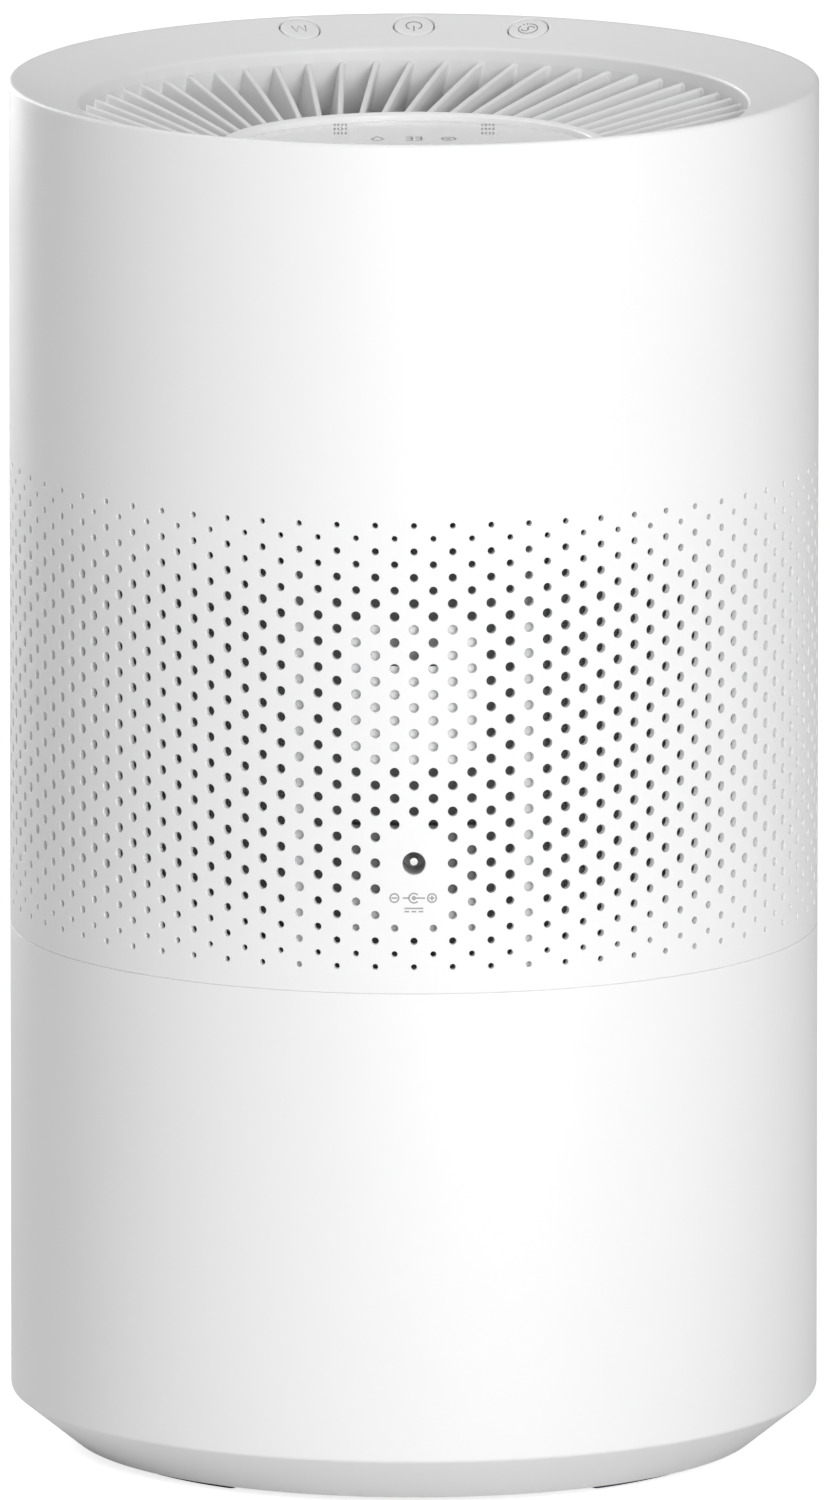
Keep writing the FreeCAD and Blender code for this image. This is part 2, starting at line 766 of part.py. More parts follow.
def display_board():
    z = crest_z - display_board_drop - board_t
    board = Part.makeCylinder(display_board_r, board_t, V(0, 0, z))
    return board.cut(Part.makeCompound(display_screws(0.1)))


def display_lamps():
    z = crest_z - display_board_drop
    lamps = [block(x - 4, x + 4, 15, 25, z, z + 4.5) for x in (-10.0, 0.3, 10.0)]
    for x in (-20.6, 20.7):
        lamps += [block(x - 3, x + 3, y - 1, y + 1, z, z + 2.0) for y in (31.0, 34.4, 37.8)]
    return lamps


# ---- head: keys ----

def under_dish():
    """Everything below the dish surface near the keys, used to finish a key's face flush with the dish."""
    low = crest_z - 12
    return lathe([(throat_r + 2, low), (rim_in_r, low), (rim_in_r, dish_top_z), (throat_r + 2, dish_z(throat_r + 2))])


def key(bearing):
    at = key_centre(bearing)
    push = key_axis(bearing)
    cap = rod(key_r, at - push * 2, at + push * (wall + key_gap)).common(under_dish())
    flange = rod(key_flange_r, at + push * (wall + key_gap), at + push * (wall + key_gap + key_flange_t))
    room = Part.makeCylinder(inner_r - flange_gap, 40, V(0, 0, crest_z - 40))
    stem = rod(key_stem_r, at + push * wall, at + push * (key_board_depth - 0.6 - key_travel - key_gap))
    return cap.fuse([flange.common(room), stem])


def key_board():
    lean = dish_slope
    half = 7.0
    depth = key_board_depth
    mid = V(key_ring_r + depth * math.sin(lean), 0, dish_z(key_ring_r) - depth * math.cos(lean))
    along = V(math.cos(lean), 0, math.sin(lean))
    down = V(math.sin(lean), 0, -math.cos(lean)) * key_board_t
    inner_edge = mid - along * half
    outer_edge = mid + along * 2.0
    corners = [inner_edge, outer_edge, outer_edge + down, inner_edge + down]
    strip = Part.Face(Part.makePolygon(corners + corners[:1])).revolve(ORIGIN, Z, key_board_span)
    strip.rotate(ORIGIN, Z, 90 - key_board_span / 2)
    return strip.cut(Part.makeCompound(key_screws(0.1)))


def key_switches():
    """Square switch cases that stand on the key board; each is hollow where the key's stem enters."""
    cases = []
    for bearing in key_bearings.values():
        at = key_centre(bearing)
        push = key_axis(bearing)
        case = block(-switch_side / 2, switch_side / 2, -switch_side / 2, switch_side / 2, 0, switch_h)
        well = Part.makeCylinder(key_stem_r + key_gap, switch_h, V(0, 0, 0.6))
        case = case.cut(well)
        case.Placement = FreeCAD.Placement(at + push * (key_board_depth - 0.15), FreeCAD.Rotation(Z, -push))
        cases.append(case)
    return cases


def key_screws(grow=0.0):
    parts = []
    for bearing in key_pillar_bearings:
        at = spot(key_ring_r, bearing, dish_z(key_ring_r))
        push = key_axis(bearing)
        parts.append(screw(at + push * (key_board_depth + key_board_t), -push, 2.0, 6.0, grow))
    return parts


# ---- head: motor ----

motor_top_z = housing_top_z + 3.0
tube_r = bearing_r + bearing_tube_wall


def motor_base():
    plate = Part.makeCylinder(30, 2, V(0, 0, motor_top_z - 2))
    sleeve = tube(bearing_r, tube_r, can_z + 3, motor_top_z - 2)
    return plate.fuse(sleeve).cut(Part.makeCompound(motor_screws(0.05)))


def motor_board():
    board = tube(tube_r + fit, 19.0, motor_top_z - 2 - board_t, motor_top_z - 2)
    parts = [radial_block(11, 16, 6, motor_top_z - 5.6, motor_top_z - 2 - board_t, b) for b in (0, 120, 240)]
    return board.fuse(parts)


def bearings():
    low = can_z + 3
    high = motor_top_z - 11
    return [tube(shaft_r + shaft_play, bearing_r, z, z + bearing_w) for z in (low, high)]


stator_r = can_r - can_wall - magnet_t - air_gap
stator_z = can_z + 5.0
stator_h = 11.0


def tooth(i, grow=0.0, rise=0.0):
    z0 = stator_z - rise
    return radial_block(tube_r + 1.5, stator_r - 2.0, 3.0 + grow, z0, stator_z + stator_h + rise, i * 360.0 / stator_poles)


def motor_stator():
    core = tube(tube_r, tube_r + 2.5, stator_z, stator_z + stator_h)
    parts = []
    for i in range(stator_poles):
        at = i * 360.0 / stator_poles
        parts.append(tooth(i))
        parts.append(sector(stator_r - 2.6, stator_r, stator_z, stator_z + stator_h, at - 17, at + 17))
    return core.fuse(parts).removeSplitter()


def motor_windings():
    coils = []
    for i in range(stator_poles):
        at = i * 360.0 / stator_poles
        z0, z1 = stator_z - 1.6, stator_z + stator_h + 1.6
        coil = radial_block(tube_r + 4.0, stator_r - 3.0, 5.4, z0, z1, at)
        coils.append(coil.cut(radial_block(tube_r, stator_r, 3.1, stator_z, stator_z + stator_h, at)))
    return coils


# ---- fan: what turns ----

def rotor_can():
    high = can_z + can_h
    bore = shaft_r
    return lathe([
        (bore, can_z), (can_r, can_z), (can_r, high), (can_r - can_wall, high), (can_r - can_wall, can_z + can_wall),
        (bore, can_z + can_wall)])


def rotor_magnet():
    r = can_r - can_wall
    return tube(r - magnet_t, r, can_z + 3, can_z + can_h - 2)


def motor_shaft():
    return Part.makeCylinder(shaft_r, motor_top_z - 4 - (can_z - 7), V(0, 0, can_z - 7))


def shaft_clip():
    z = motor_top_z - 11 + bearing_w + 0.3
    return tube(shaft_r, 4.5, z, z + 0.8)


def impeller():
    z = impeller_z
    top = motor_top_z - 2.0
    rim = motor_plate_r + 7
    hub = lathe([
        (0, z), (14, z + 1.0), (24, z + 6), (rim, top - 2), (rim, top), (rim - 2.5, top), (rim - 2.5, top - 1),
        (22.5, z + 8), (13, z + 3.3), (6, z + 2.6), (6, can_z), (0, can_z)])
    hub = hub.cut(Part.makeCylinder(shaft_r, 20, V(0, 0, can_z - 7)))
    zone = lathe([(23.3, z + 6.7), (inlet_r - 2.6, z), (impeller_r, z + 31.5), (rim - 0.6, top - 1.3)])
    path = ((22.0, 0.0), (54.0, 14.0), (90.0, 40.0))
    ends = [spot(r, b, z - 2) for r, b in path]
    normals = []
    for here, there in ((0, 1), (0, 2), (1, 2)):
        step = ends[there] - ends[here]
        normals.append(V(-step.y, step.x, 0).normalize() * impeller_blade_t / 2)
    left = [p + n for p, n in zip(ends, normals)]
    right = [p - n for p, n in zip(ends, normals)]
    edges = [
        Part.Arc(*left).toShape(), Part.LineSegment(left[2], right[2]).toShape(),
        Part.Arc(*right[::-1]).toShape(), Part.LineSegment(right[0], left[0]).toShape()]
    vane = Part.Face(Part.Wire(edges)).extrude(V(0, 0, top - z + 4)).common(zone)
    return hub.fuse([turned(vane, i * 360.0 / impeller_blades) for i in range(impeller_blades)])


# ---- head: boards and leads ----

def main_board():
    half = main_w / 2
    board = block(-half, half, main_y - board_t / 2, main_y + board_t / 2, main_z, main_z + main_h)
    face = main_y + board_t / 2
    parts = [
        block(-30, -14, face, face + 6, main_z + 4, main_z + 18),
        block(-8, 2, face, face + 2, main_z + 14, main_z + 24),
        block(14, 30, face, face + 5, main_z + 16, main_z + 28),
        rod(4, V(-24, face + 3.7, main_z + 20), V(-24, face + 3.7, main_z + 31))]
    return board.fuse(parts)


def power_leads():
    """Two wires from the inlet board up through the deck to the main board, clipped inside the head."""
    start_y = -(inner_r - jack_front) + jack_depth + board_t
    end_y = main_y + board_t / 2
    low, high = jack_z + 6, main_z + 8
    b = lead_bend
    q = b * (1 - math.sqrt(0.5))
    leads = []
    for x in lead_x:
        edges = [
            Part.LineSegment(V(x, start_y, low), V(x, lead_y - b, low)).toShape(),
            Part.Arc(V(x, lead_y - b, low), V(x, lead_y - q, low + q), V(x, lead_y, low + b)).toShape(),
            Part.LineSegment(V(x, lead_y, low + b), V(x, lead_y, high - b)).toShape(),
            Part.Arc(V(x, lead_y, high - b), V(x, lead_y - q, high - q), V(x, lead_y - b, high)).toShape(),
            Part.LineSegment(V(x, lead_y - b, high), V(x, end_y, high)).toShape()]
        ring = Part.Wire(Part.makeCircle(lead_r, V(x, start_y, low), V(0, 1, 0)))
        leads.append(Part.Wire(edges).makePipeShell([ring], True, False))
    return leads


def level_sensor():
    pod = block(float_ring_r - 5, frame_r_in - 0.3, -7, 7, ledge_z + 2, ledge_z + 9)
    return pod


os.makedirs("parts", exist_ok=True)
float_body, float_magnet = float_pieces()
band = inlet_band()
jack_body, jack_pin, jack_board = jack_pieces()
pieces = {
    "tank_shell": tank_shell(),
    "rubber_feet": [foot(bearing) for bearing in foot_bearings],
    "filter_seat": filter_seat(),
    "float_guide": float_guide(),
    "float_body": float_body,
    "float_magnet": float_magnet,
    "filter_bottom_ring": end_ring(filter_z, 1),
    "filter_top_ring": end_ring(filter_top_z, -1),
    "wick_filter": wick(),
    "filter_core": filter_core(),
    "upper_shell": upper_shell(),
    "inlet_band_rear": band[0],
    "inlet_band_right": band[1],
    "inlet_band_front": band[2],
    "inlet_band_left": band[3],
    "inner_frame": inner_frame(),
    "prefilter_mesh": prefilter_mesh(),
    "rear_panel": rear_panel(),
    "sensor_box": sensor_box(),
    "humidity_sensor": humidity_sensor(),
    "jack_bracket": pocket_cover(bracket_rows).cut(jack_block(fit)),
    "dc_jack_body": jack_body,
    "dc_jack_pin": jack_pin,
    "jack_board": jack_board,
    "fan_deck": fan_deck().cut(Part.makeCompound(deck_screws(0.05))),
    "deck_seal": tube(seal_r_in, seal_r_out, deck_z - seal_t, deck_z),
    "deck_screws": deck_screws(),
    "fan_housing": fan_housing(),
    "housing_screws": housing_screws(),
    "diffuser": diffuser(),
    "outlet_grille": outlet_grille(),
    "display_bezel": display_bezel(),
    "display_lens": display_lens(),
    "display_board": display_board(),
    "display_lamps": display_lamps(),
    "display_screws": display_screws(),
    "key_board": key_board(),
    "key_switches": key_switches(),
    "key_screws": key_screws(),
    "motor_base": motor_base(),
    "motor_board": motor_board(),
    "motor_bearings": bearings(),
    "motor_stator": motor_stator(),
    "motor_windings": motor_windings(),
    "motor_screws": motor_screws(),
    "rotor_can": rotor_can(),
    "rotor_magnet": rotor_magnet(),
    "motor_shaft": motor_shaft(),
    "shaft_clip": shaft_clip(),
    "impeller": impeller(),
    "main_board": main_board(),
    "power_leads": power_leads(),
    "level_sensor": level_sensor(),
}
for name, bearing in key_bearings.items():
    pieces[name] = key(bearing)
for node, shapes in pieces.items():
    save(node, shapes)
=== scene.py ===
# %% [markdown]
# # A round evaporative air purifier
# The CAD model of the purifier is the frame: its bodies, its joints and its true size. This lesson loads that
# frame, swaps the pieces that show for finer ones made in mesh code, and gives every piece a finish.
# Lengths in the helpers are millimetres, as on a drawing, and become metres only when a mesh is made.

# %% Load the frame
import bmesh
import bpy
import math
import numpy as np
from mathutils import Matrix, Vector


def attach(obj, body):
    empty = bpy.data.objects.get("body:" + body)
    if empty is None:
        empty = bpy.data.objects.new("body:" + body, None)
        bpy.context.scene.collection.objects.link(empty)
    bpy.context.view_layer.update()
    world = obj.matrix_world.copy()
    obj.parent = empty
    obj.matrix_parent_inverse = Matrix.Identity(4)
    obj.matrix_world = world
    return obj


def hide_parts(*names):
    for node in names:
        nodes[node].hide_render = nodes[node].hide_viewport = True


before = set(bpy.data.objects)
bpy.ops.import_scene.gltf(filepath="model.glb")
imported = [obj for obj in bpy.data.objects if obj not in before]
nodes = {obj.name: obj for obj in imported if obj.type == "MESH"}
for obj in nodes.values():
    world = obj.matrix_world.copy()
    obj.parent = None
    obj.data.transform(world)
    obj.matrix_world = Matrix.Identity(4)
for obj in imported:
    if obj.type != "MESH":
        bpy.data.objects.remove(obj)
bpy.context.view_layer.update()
MM = 0.001

# %% [markdown]
# The sizes below are the ones the pieces share with the CAD model. The axis of the drum is Z, the floor is
# z = 0, and a bearing is an angle from the back of the unit, where the power inlet is, counter-clockwise
# seen from above. The drum is 226 mm across; its perforated band has 132 columns of holes in staggered rows.

# %% Sizes of the unit
body_r, wall = 113.0, 1.8
inner_r = body_r - wall
seam_z, head_z, crest_z = 147.4, 147.9, 385.9
row0_z, row_pitch, rows, columns = 279.3, 3.647, 35, 132
band_top_z = row0_z + 5.0
jack_row = 26
jack_z = row0_z - jack_row * row_pitch
throat_r, hub_r, duct_wall = 93.2, 56.5, 2.2
dish_top_z, rim_r = crest_z - 0.4, 1.2
rim_in_r = body_r - 2 * rim_r
dish_slope = math.atan(6.4 / (rim_in_r - throat_r))
around = 2 * columns
print("inlet at", round(jack_z, 2), "mm; dish slopes", round(math.degrees(dish_slope), 1), "degrees")


# %% [markdown]
# Most of this product was shaped on a lathe in spirit: drum, dish, rings and keys are profiles turned about an
# axis. A Screw modifier could do that, but a small function gives exact control: it turns a list of (radius,
# height) points about Z, closes the loop, and leaves one vertex where the profile meets the axis.
# Corners are rounded in the profile, because a moulded edge is never sharp and a round edge catches light.

# %% Mesh helpers
def spot(r, bearing, z):
    a = math.radians(bearing)
    return (r * math.sin(a), -r * math.cos(a), z)


def put_in(name, data):
    """A new object in the scene for a mesh, a light or a camera."""
    obj = bpy.data.objects.new(name, data)
    bpy.context.scene.collection.objects.link(obj)
    return obj


def mesh_object(name, points, faces, smooth_angle=32):
    """A new object from millimetre points, smooth shaded except at edges sharper than the angle."""
    mesh = bpy.data.meshes.new(name)
    mesh.from_pydata([(x * MM, y * MM, z * MM) for x, y, z in points], [], faces)
    mesh.validate()
    mesh.polygons.foreach_set("use_smooth", [True] * len(mesh.polygons))
    mesh.set_sharp_from_angle(angle=math.radians(smooth_angle))
    return put_in(name, mesh)


def rounded(profile, steps=4):
    """Profile points (r, z) or (r, z, radius): a point with a radius becomes an arc of that radius."""
    out = []
    count = len(profile)
    for i, point in enumerate(profile):
        if len(point) == 2:
            out.append(point)
            continue
        here = Vector(point[:2])
        before = Vector(profile[i - 1][:2]) - here
        after = Vector(profile[(i + 1) % count][:2]) - here
        angle = before.angle(after)
        cut = min(point[2] / math.tan(angle / 2), before.length * 0.49, after.length * 0.49)
        a, b = here + before.normalized() * cut, here + after.normalized() * cut
        for k in range(steps + 1):
            t = k / steps
            p = a * (1 - t) ** 2 + here * 2 * t * (1 - t) + b * t * t
            out.append((p.x, p.y))
    return out


def turned(profile, segments=around, start=0.0, span=360.0):
    """Points and faces of a closed profile turned about Z. A part turn gets its two end faces."""
    full = span > 359.9
    stations = segments if full else segments + 1
    points, faces, rings = [], [], []
    for k in range(stations):
        ring = []
        for i, (r, z) in enumerate(profile):
            if r < 1e-6 and k:
                ring.append(rings[0][i])
                continue
            ring.append(len(points))
            points.append(spot(r, start + span * k / segments, z))
        rings.append(ring)
    for k in range(segments):
        a, b = rings[k], rings[(k + 1) % stations]
        for i in range(len(profile)):
            j = (i + 1) % len(profile)
            corners = (a[i], b[i], b[j], a[j])
            quad = [v for n, v in enumerate(corners) if v not in corners[:n]]
            if len(quad) > 2:
                faces.append(quad[::-1])
    if not full:
        faces.append(rings[0])
        faces.append(rings[-1][::-1])
    return points, faces


def together(*parts):
    """Several (points, faces) pairs as one."""
    points, faces = [], []
    for more_points, more_faces in parts:
        base = len(points)
        points += more_points
        faces += [[v + base for v in face] for face in more_faces]
    return points, faces


def moved(part, matrix):
    points, faces = part
    return [tuple(matrix @ Vector(p)) for p in points], faces


def seat(obj, body, *stands_for):
    """The piece rides on its CAD body and takes the place of those CAD nodes."""
    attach(obj, body)
    if stands_for:
        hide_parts(*stands_for)
    print(obj.name, len(obj.data.polygons), "faces on", body)
    return obj


# %% [markdown]
# The tank is the lower third of the drum: a moulded bucket with a chamfered base and, near its rim, a ledge
# that carries the head. It could be a cylinder with bevels, but the chamfer, the inner ledge and the thin
# rounded rim are all in one profile, so it is turned in one go. The soft knee above the chamfer matters,
# because the light rolls over it.

# %% Tank
base_r, base_z, base_up, tank_floor_z = 96.0, 2.0, 13.5, 5.0
tank_top_z, ledge_r, ledge_z = seam_z + 0.28, 107.6, 141.4
tank_profile = rounded([
    (0, base_z), (base_r, base_z, 1.0), (body_r, base_z + base_up, 1.6), (body_r, tank_top_z, 0.16),
    (inner_r, tank_top_z, 0.35), (inner_r, ledge_z, 0.5), (ledge_r, ledge_z, 0.5), (ledge_r, ledge_z - 2.0, 0.5),
    (inner_r, ledge_z - 5.6, 1.0), (inner_r, 16.5, 3.0), (base_r - 1.0, tank_floor_z, 3.0), (0, tank_floor_z)])
tank = seat(mesh_object("tank_bucket", *turned(tank_profile)), "tank", "tank_shell")

# %% [markdown]
# The unit stands on four thin rubber arcs. A box would look stuck on, so each foot is a short turn of a
# rounded profile, with ends that are rounded off by drawing the last stations in.

# %% Feet
foot_bearings = (43.5, 136.5, 223.5, 316.5)
foot_in, foot_mid, foot_out, foot_h = 82.0, 86.2, 90.4, 2.45


def foot(bearing, span=19.0):
    points, faces = [], []
    stations = [(-0.5, 0.0), (-0.498, 0.5), (-0.49, 0.8), (-0.475, 0.95), (-0.45, 1.0)]
    stations += [(t / 10, 1.0) for t in range(-4, 5)] + [(-t, s) for t, s in stations[::-1]]
    section = rounded([
        (foot_in, 0.0, 0.7), (foot_out, 0.0, 0.7), (foot_out, foot_h, 0.2), (foot_in, foot_h, 0.2)], 3)
    count = len(section)
    for turn, swell in stations:
        for r, z in section:
            drawn_r = foot_mid + (r - foot_mid) * (0.62 + 0.38 * swell)
            drawn_z = z + 0.6 * (1 - swell) * (1 - z / foot_h)
            points.append(spot(drawn_r, bearing + span * turn, drawn_z))
    for k in range(len(stations) - 1):
        for i in range(count):
            j = (i + 1) % count
            faces.append([k * count + i, k * count + j, (k + 1) * count + j, (k + 1) * count + i])
    faces.append(list(range(count))[::-1])
    faces.append([(len(stations) - 1) * count + i for i in range(count)])
    return points, faces


feet = mesh_object("feet", *together(*(foot(b) for b in foot_bearings)))
seat(feet, "tank", "rubber_feet")


# %% [markdown]
# The air inlet is a band of 2300 round holes through the wall, smaller towards its top and bottom edges.
# Cutting them with a Boolean leaves long thin triangles that shade badly on a curved wall. Instead the wall
# is woven from cells: each cell is one hole with a ring of quads round it, laid out as on a flat sheet and
# then rolled onto the drum. Every hole has a rounded lip and a bore as deep as the wall is thick. Each
# face corner gets its true normal, so the wall between the holes shines like a plain cylinder.

# %% Perforated band
end_holes, full_hole = (1.6, 1.98, 2.3), 2.7
jack_hole_r = 3.15
half_column = math.pi / columns


def row_z(row):
    return row0_z - row * row_pitch


def hole_radius(row):
    pair = min(row, rows - 1 - row) // 2
    return (end_holes[pair] if pair < len(end_holes) else full_hole) / 2


def edge_points(half_angle, half_height, across, up):
    """Points round a cell's edge as (angle, height), from the middle of its right side, counter-clockwise."""
    side = [(half_angle, half_height * k / (up // 2)) for k in range(-up // 2, up // 2)]
    top = [(half_angle * (1 - 2 * k / across), half_height) for k in range(across)]
    ring = side + top + [(-a, -h) for a, h in side] + [(-a, -h) for a, h in top]
    return ring[up // 2:] + ring[:up // 2]


class Wall:
    """Collects cells of the band: points, quads and the normal at each corner of each quad."""

    def __init__(self):
        self.points, self.faces, self.normals = [], [], []

    def grid(self, rings, normals):
        """Quads between rings of points; normals holds, for each gap, the pair of normals at its two rings."""
        base = sum(len(p) for p in self.points)
        count = len(rings[0])
        self.points += rings
        for k in range(len(rings) - 1):
            i = np.arange(count)
            j = (i + 1) % count
            quad = np.stack([base + k * count + i, base + k * count + j,
                             base + (k + 1) * count + j, base + (k + 1) * count + i], 1)
            first, second = normals[k]
            self.faces.append(quad)
            self.normals.append(np.stack([first[i], first[j], second[j], second[i]], 1))

    def hole(self, turn, z, radius, half_angle, half_height, across, up, lip=0.22):
        edge = np.array(edge_points(half_angle, half_height, across, up))
        count = len(edge)
        t = 2 * np.pi * np.arange(count) / count
        inward = np.stack([-np.cos(t), np.zeros(count), -np.sin(t)], 1)

        def rim(rho):
            return np.stack([rho * np.sin(edge[:, 0]), rho * np.cos(edge[:, 0]), edge[:, 1]], 1)

        def ring(r, rho, depth):
            x = r * np.cos(t)
            return np.stack([x, np.sqrt(rho ** 2 - x ** 2) - depth, r * np.sin(t)], 1)

        def out(ring_points):
            flat = ring_points * [1, 1, 0]
            return flat / np.linalg.norm(flat, axis=1)[:, None]

        outer, mouth = rim(body_r), ring(radius + lip, body_r, 0)
        bend, bore = ring(radius + 0.29 * lip, body_r, 0.29 * lip), ring(radius, body_r, lip)
        back, inner = ring(radius, inner_r, 0), rim(inner_r)
        slant = out(mouth) + inward
        slant /= np.linalg.norm(slant, axis=1)[:, None]
        c, s = math.cos(turn), math.sin(turn)
        roll = np.array([[c, s, 0], [s, -c, 0], [0, 0, 1]])
        rings = [p @ roll.T + [0, 0, z] for p in (outer, mouth, bend, bore, back, inner)]
        pairs = [(out(outer), out(mouth)), (out(mouth), slant), (slant, inward), (inward, inward),
                 (-out(back), -out(inner))]
        self.grid(rings, [(a @ roll.T, b @ roll.T) for a, b in pairs])

    def plain(self, turn, z0, z1, up, across=2):
        """A stretch of wall without holes, outside and inside."""
        for rho, sign in ((body_r, 1), (inner_r, -1)):
            base = sum(len(p) for p in self.points)
            angles = turn + half_column * np.linspace(-1, 1, across + 1)
            heights = np.linspace(z0, z1, up + 1)
            a, h = np.meshgrid(angles, heights)
            normal = np.stack([np.sin(a), -np.cos(a), 0 * a], 2).reshape(-1, 3) * sign
            self.points.append(np.stack([rho * np.sin(a), -rho * np.cos(a), h], 2).reshape(-1, 3))
            for row in range(up):
                for col in range(across):
                    k = row * (across + 1) + col
                    quad = np.array([[k, k + 1, k + across + 2, k + across + 1]])[:, ::sign]
                    self.faces.append(base + quad)
                    self.normals.append(normal[quad])

    def border(self, turn, profile):
        """The rounded edge at the top or bottom of the wall: a short profile from outside to inside."""
        base = sum(len(p) for p in self.points)
        angles = turn + half_column * np.linspace(-1, 1, 3)
        prof = np.array(profile)
        tangent = np.gradient(prof, axis=0)
        side = np.stack([-tangent[:, 1], tangent[:, 0]], 1)
        side /= np.linalg.norm(side, axis=1)[:, None]
        points, normal = [], []
        for a in angles:
            points += [(r * math.sin(a), -r * math.cos(a), z) for r, z in prof]
            normal += [(n[0] * math.sin(a), -n[0] * math.cos(a), n[1]) for n in side]
        self.points.append(np.array(points))
        normal = np.array(normal)
        count = len(prof)
        for k in range(2):
            for i in range(count - 1):
                quad = np.array([[k * count + i, (k + 1) * count + i, (k + 1) * count + i + 1, k * count + i + 1]])
                self.faces.append(base + quad[:, ::-1])
                self.normals.append(normal[quad[:, ::-1]])

    def to_object(self, name):
        points = np.concatenate(self.points)
        faces = np.concatenate(self.faces)
        normals = np.concatenate(self.normals).reshape(-1, 3)
        _, first, where = np.unique(np.round(points, 3), axis=0, return_index=True, return_inverse=True)
        obj = mesh_object(name + "_wall", points[first].tolist(), where.reshape(-1)[faces].tolist(), 180)
        if len(obj.data.loops) == len(normals):
            obj.data.normals_split_custom_set(normals.tolist())
        else:
            print(name, "kept plain normals:", len(obj.data.loops), len(normals))
        return obj


def band(name, first, count):
    wall_mesh = Wall()
    top_edge = [(body_r, row_z(-1)), (body_r, band_top_z - 0.01), (body_r - 0.01, band_top_z),
                (inner_r + 0.01, band_top_z), (inner_r, band_top_z - 0.01), (inner_r, row_z(-1))]
    low_z = head_z - 0.25
    low_edge = [(inner_r, row_z(rows)), (inner_r, low_z + 0.3), (inner_r + 0.3, low_z), (body_r - 0.4, low_z),
                (body_r - 0.12, low_z + 0.12), (body_r, low_z + 0.4), (body_r, row_z(rows))]
    for column in range(first, first + count):
        turn = 2 * half_column * column
        odd = column % 2
        wall_mesh.border(turn, top_edge[::-1])
        wall_mesh.border(turn, low_edge[::-1])
        if odd:
            wall_mesh.plain(turn, row_z(0), row_z(-1), 4)
            wall_mesh.plain(turn, row_z(rows), row_z(rows - 1), 4)
        for row in range(odd, rows, 2):
            if abs(column) > 1 or abs(row - jack_row - 1) >= 4 - abs(column):
                wall_mesh.hole(turn, row_z(row), hole_radius(row), half_column, row_pitch, 2, 8)
        if column == 0:
            wall_mesh.plain(turn, row_z(jack_row - 2), row_z(jack_row - 3), 4)
            wall_mesh.plain(turn, row_z(jack_row + 5), row_z(jack_row + 2), 12)
            wall_mesh.hole(turn, jack_z, jack_hole_r, 3 * half_column, 2 * row_pitch, 6, 16, 0.35)
        elif abs(column) == 1:
            wall_mesh.plain(turn, row_z(jack_row + 4), row_z(jack_row + 2), 8)
    return seat(wall_mesh.to_object(name), "head", name)


bands = [band("inlet_band_" + side, first, count) for side, first, count in
         (("rear", -18, 36), ("right", 18, 32), ("front", 50, 32), ("left", 82, 32))]

# %% [markdown]
# Above the holes the drum runs up plain to the rim, rolls over it and falls into a shallow dish that ends in
# the round outlet. That is again one turned profile. Three keys sit in the front of the dish, so three round
# wells are cut there with a Boolean whose cutters flare at the top, which leaves a soft edge round each well. A
# Boolean can only tell inside from outside if normals point outwards, so those of both solids are set first.

# %% Upper shell
def dish_z(r):
    return dish_top_z - (rim_in_r - r) * math.tan(dish_slope)


def arc(cx, cz, r, a0, a1, steps):
    span = math.radians(a1 - a0)
    turns = [math.radians(a0) + span * k / steps for k in range(steps + 1)]
    return [(cx + r * math.cos(a), cz + r * math.sin(a)) for a in turns]


throat_low_z, skirt_r = crest_z - 10.3, throat_r + duct_wall
shell_ledge_r, shell_ledge_z = inner_r - 4.6, 288.4
shell_profile = [(body_r, band_top_z), (body_r, crest_z - 30)]
shell_profile += arc(body_r - rim_r, crest_z - rim_r, rim_r, 0, 90, 6)
shell_profile += rounded([
    (rim_in_r + 0.3, dish_top_z + 0.15), (rim_in_r - 0.8, dish_z(rim_in_r - 0.8)),
    (throat_r + 5, dish_z(throat_r + 5)), (throat_r, dish_z(throat_r), 1.4), (throat_r, throat_low_z)], 6)
shell_profile += [
    (skirt_r, throat_low_z), (skirt_r, dish_z(skirt_r) - wall), (inner_r - 1.5, dish_z(inner_r) - wall),
    (inner_r, dish_z(inner_r) - wall - 1.5), (inner_r, shell_ledge_z + 6.6), (shell_ledge_r, shell_ledge_z + 2.0),
    (shell_ledge_r, shell_ledge_z), (inner_r, shell_ledge_z), (inner_r, band_top_z)]
shell = mesh_object("upper_shell_moulding", *turned(shell_profile))

key_bearings = {"key_mode": 197.8, "key_power": 180.0, "key_dry": 162.2}
key_ring_r, key_r, key_gap = 105.0, 5.52, 0.4


def key_frame(bearing):
    """Matrix whose origin is on the dish at the key, Z out of the dish, Y towards the drum's axis."""
    out = Vector(spot(1, bearing, 0))
    up = Vector((-out.x * math.sin(dish_slope), -out.y * math.sin(dish_slope), math.cos(dish_slope)))
    back = (-out - up * (-out).dot(up)).normalized()
    side = back.cross(up)
    place = Matrix((side, back, up)).transposed().to_4x4()
    place.translation = Vector(spot(key_ring_r, bearing, dish_z(key_ring_r)))
    return place


well_r, well_depth = key_r + key_gap, 4.6
well = [(0, -well_depth), (well_r, -well_depth), (well_r, -0.35), (well_r + 0.1, -0.12), (well_r + 0.34, 0.06),
        (well_r + 0.5, 4), (0, 4)]
wells = [moved(turned(well, 96), key_frame(b)) for b in key_bearings.values()]
cutter = mesh_object("well_cutter", *together(*wells))
for solid in (shell, cutter):
    skin = bmesh.new()
    skin.from_mesh(solid.data)
    bmesh.ops.recalc_face_normals(skin, faces=skin.faces)
    skin.to_mesh(solid.data)
    skin.free()
cut = shell.modifiers.new("wells", "BOOLEAN")
cut.object, cut.solver = cutter, "EXACT"
bpy.context.view_layer.objects.active = shell
bpy.ops.object.modifier_apply(modifier="wells")
bpy.data.objects.remove(cutter)
shell.data.set_sharp_from_angle(angle=math.radians(28))
seat(shell, "head", "upper_shell")

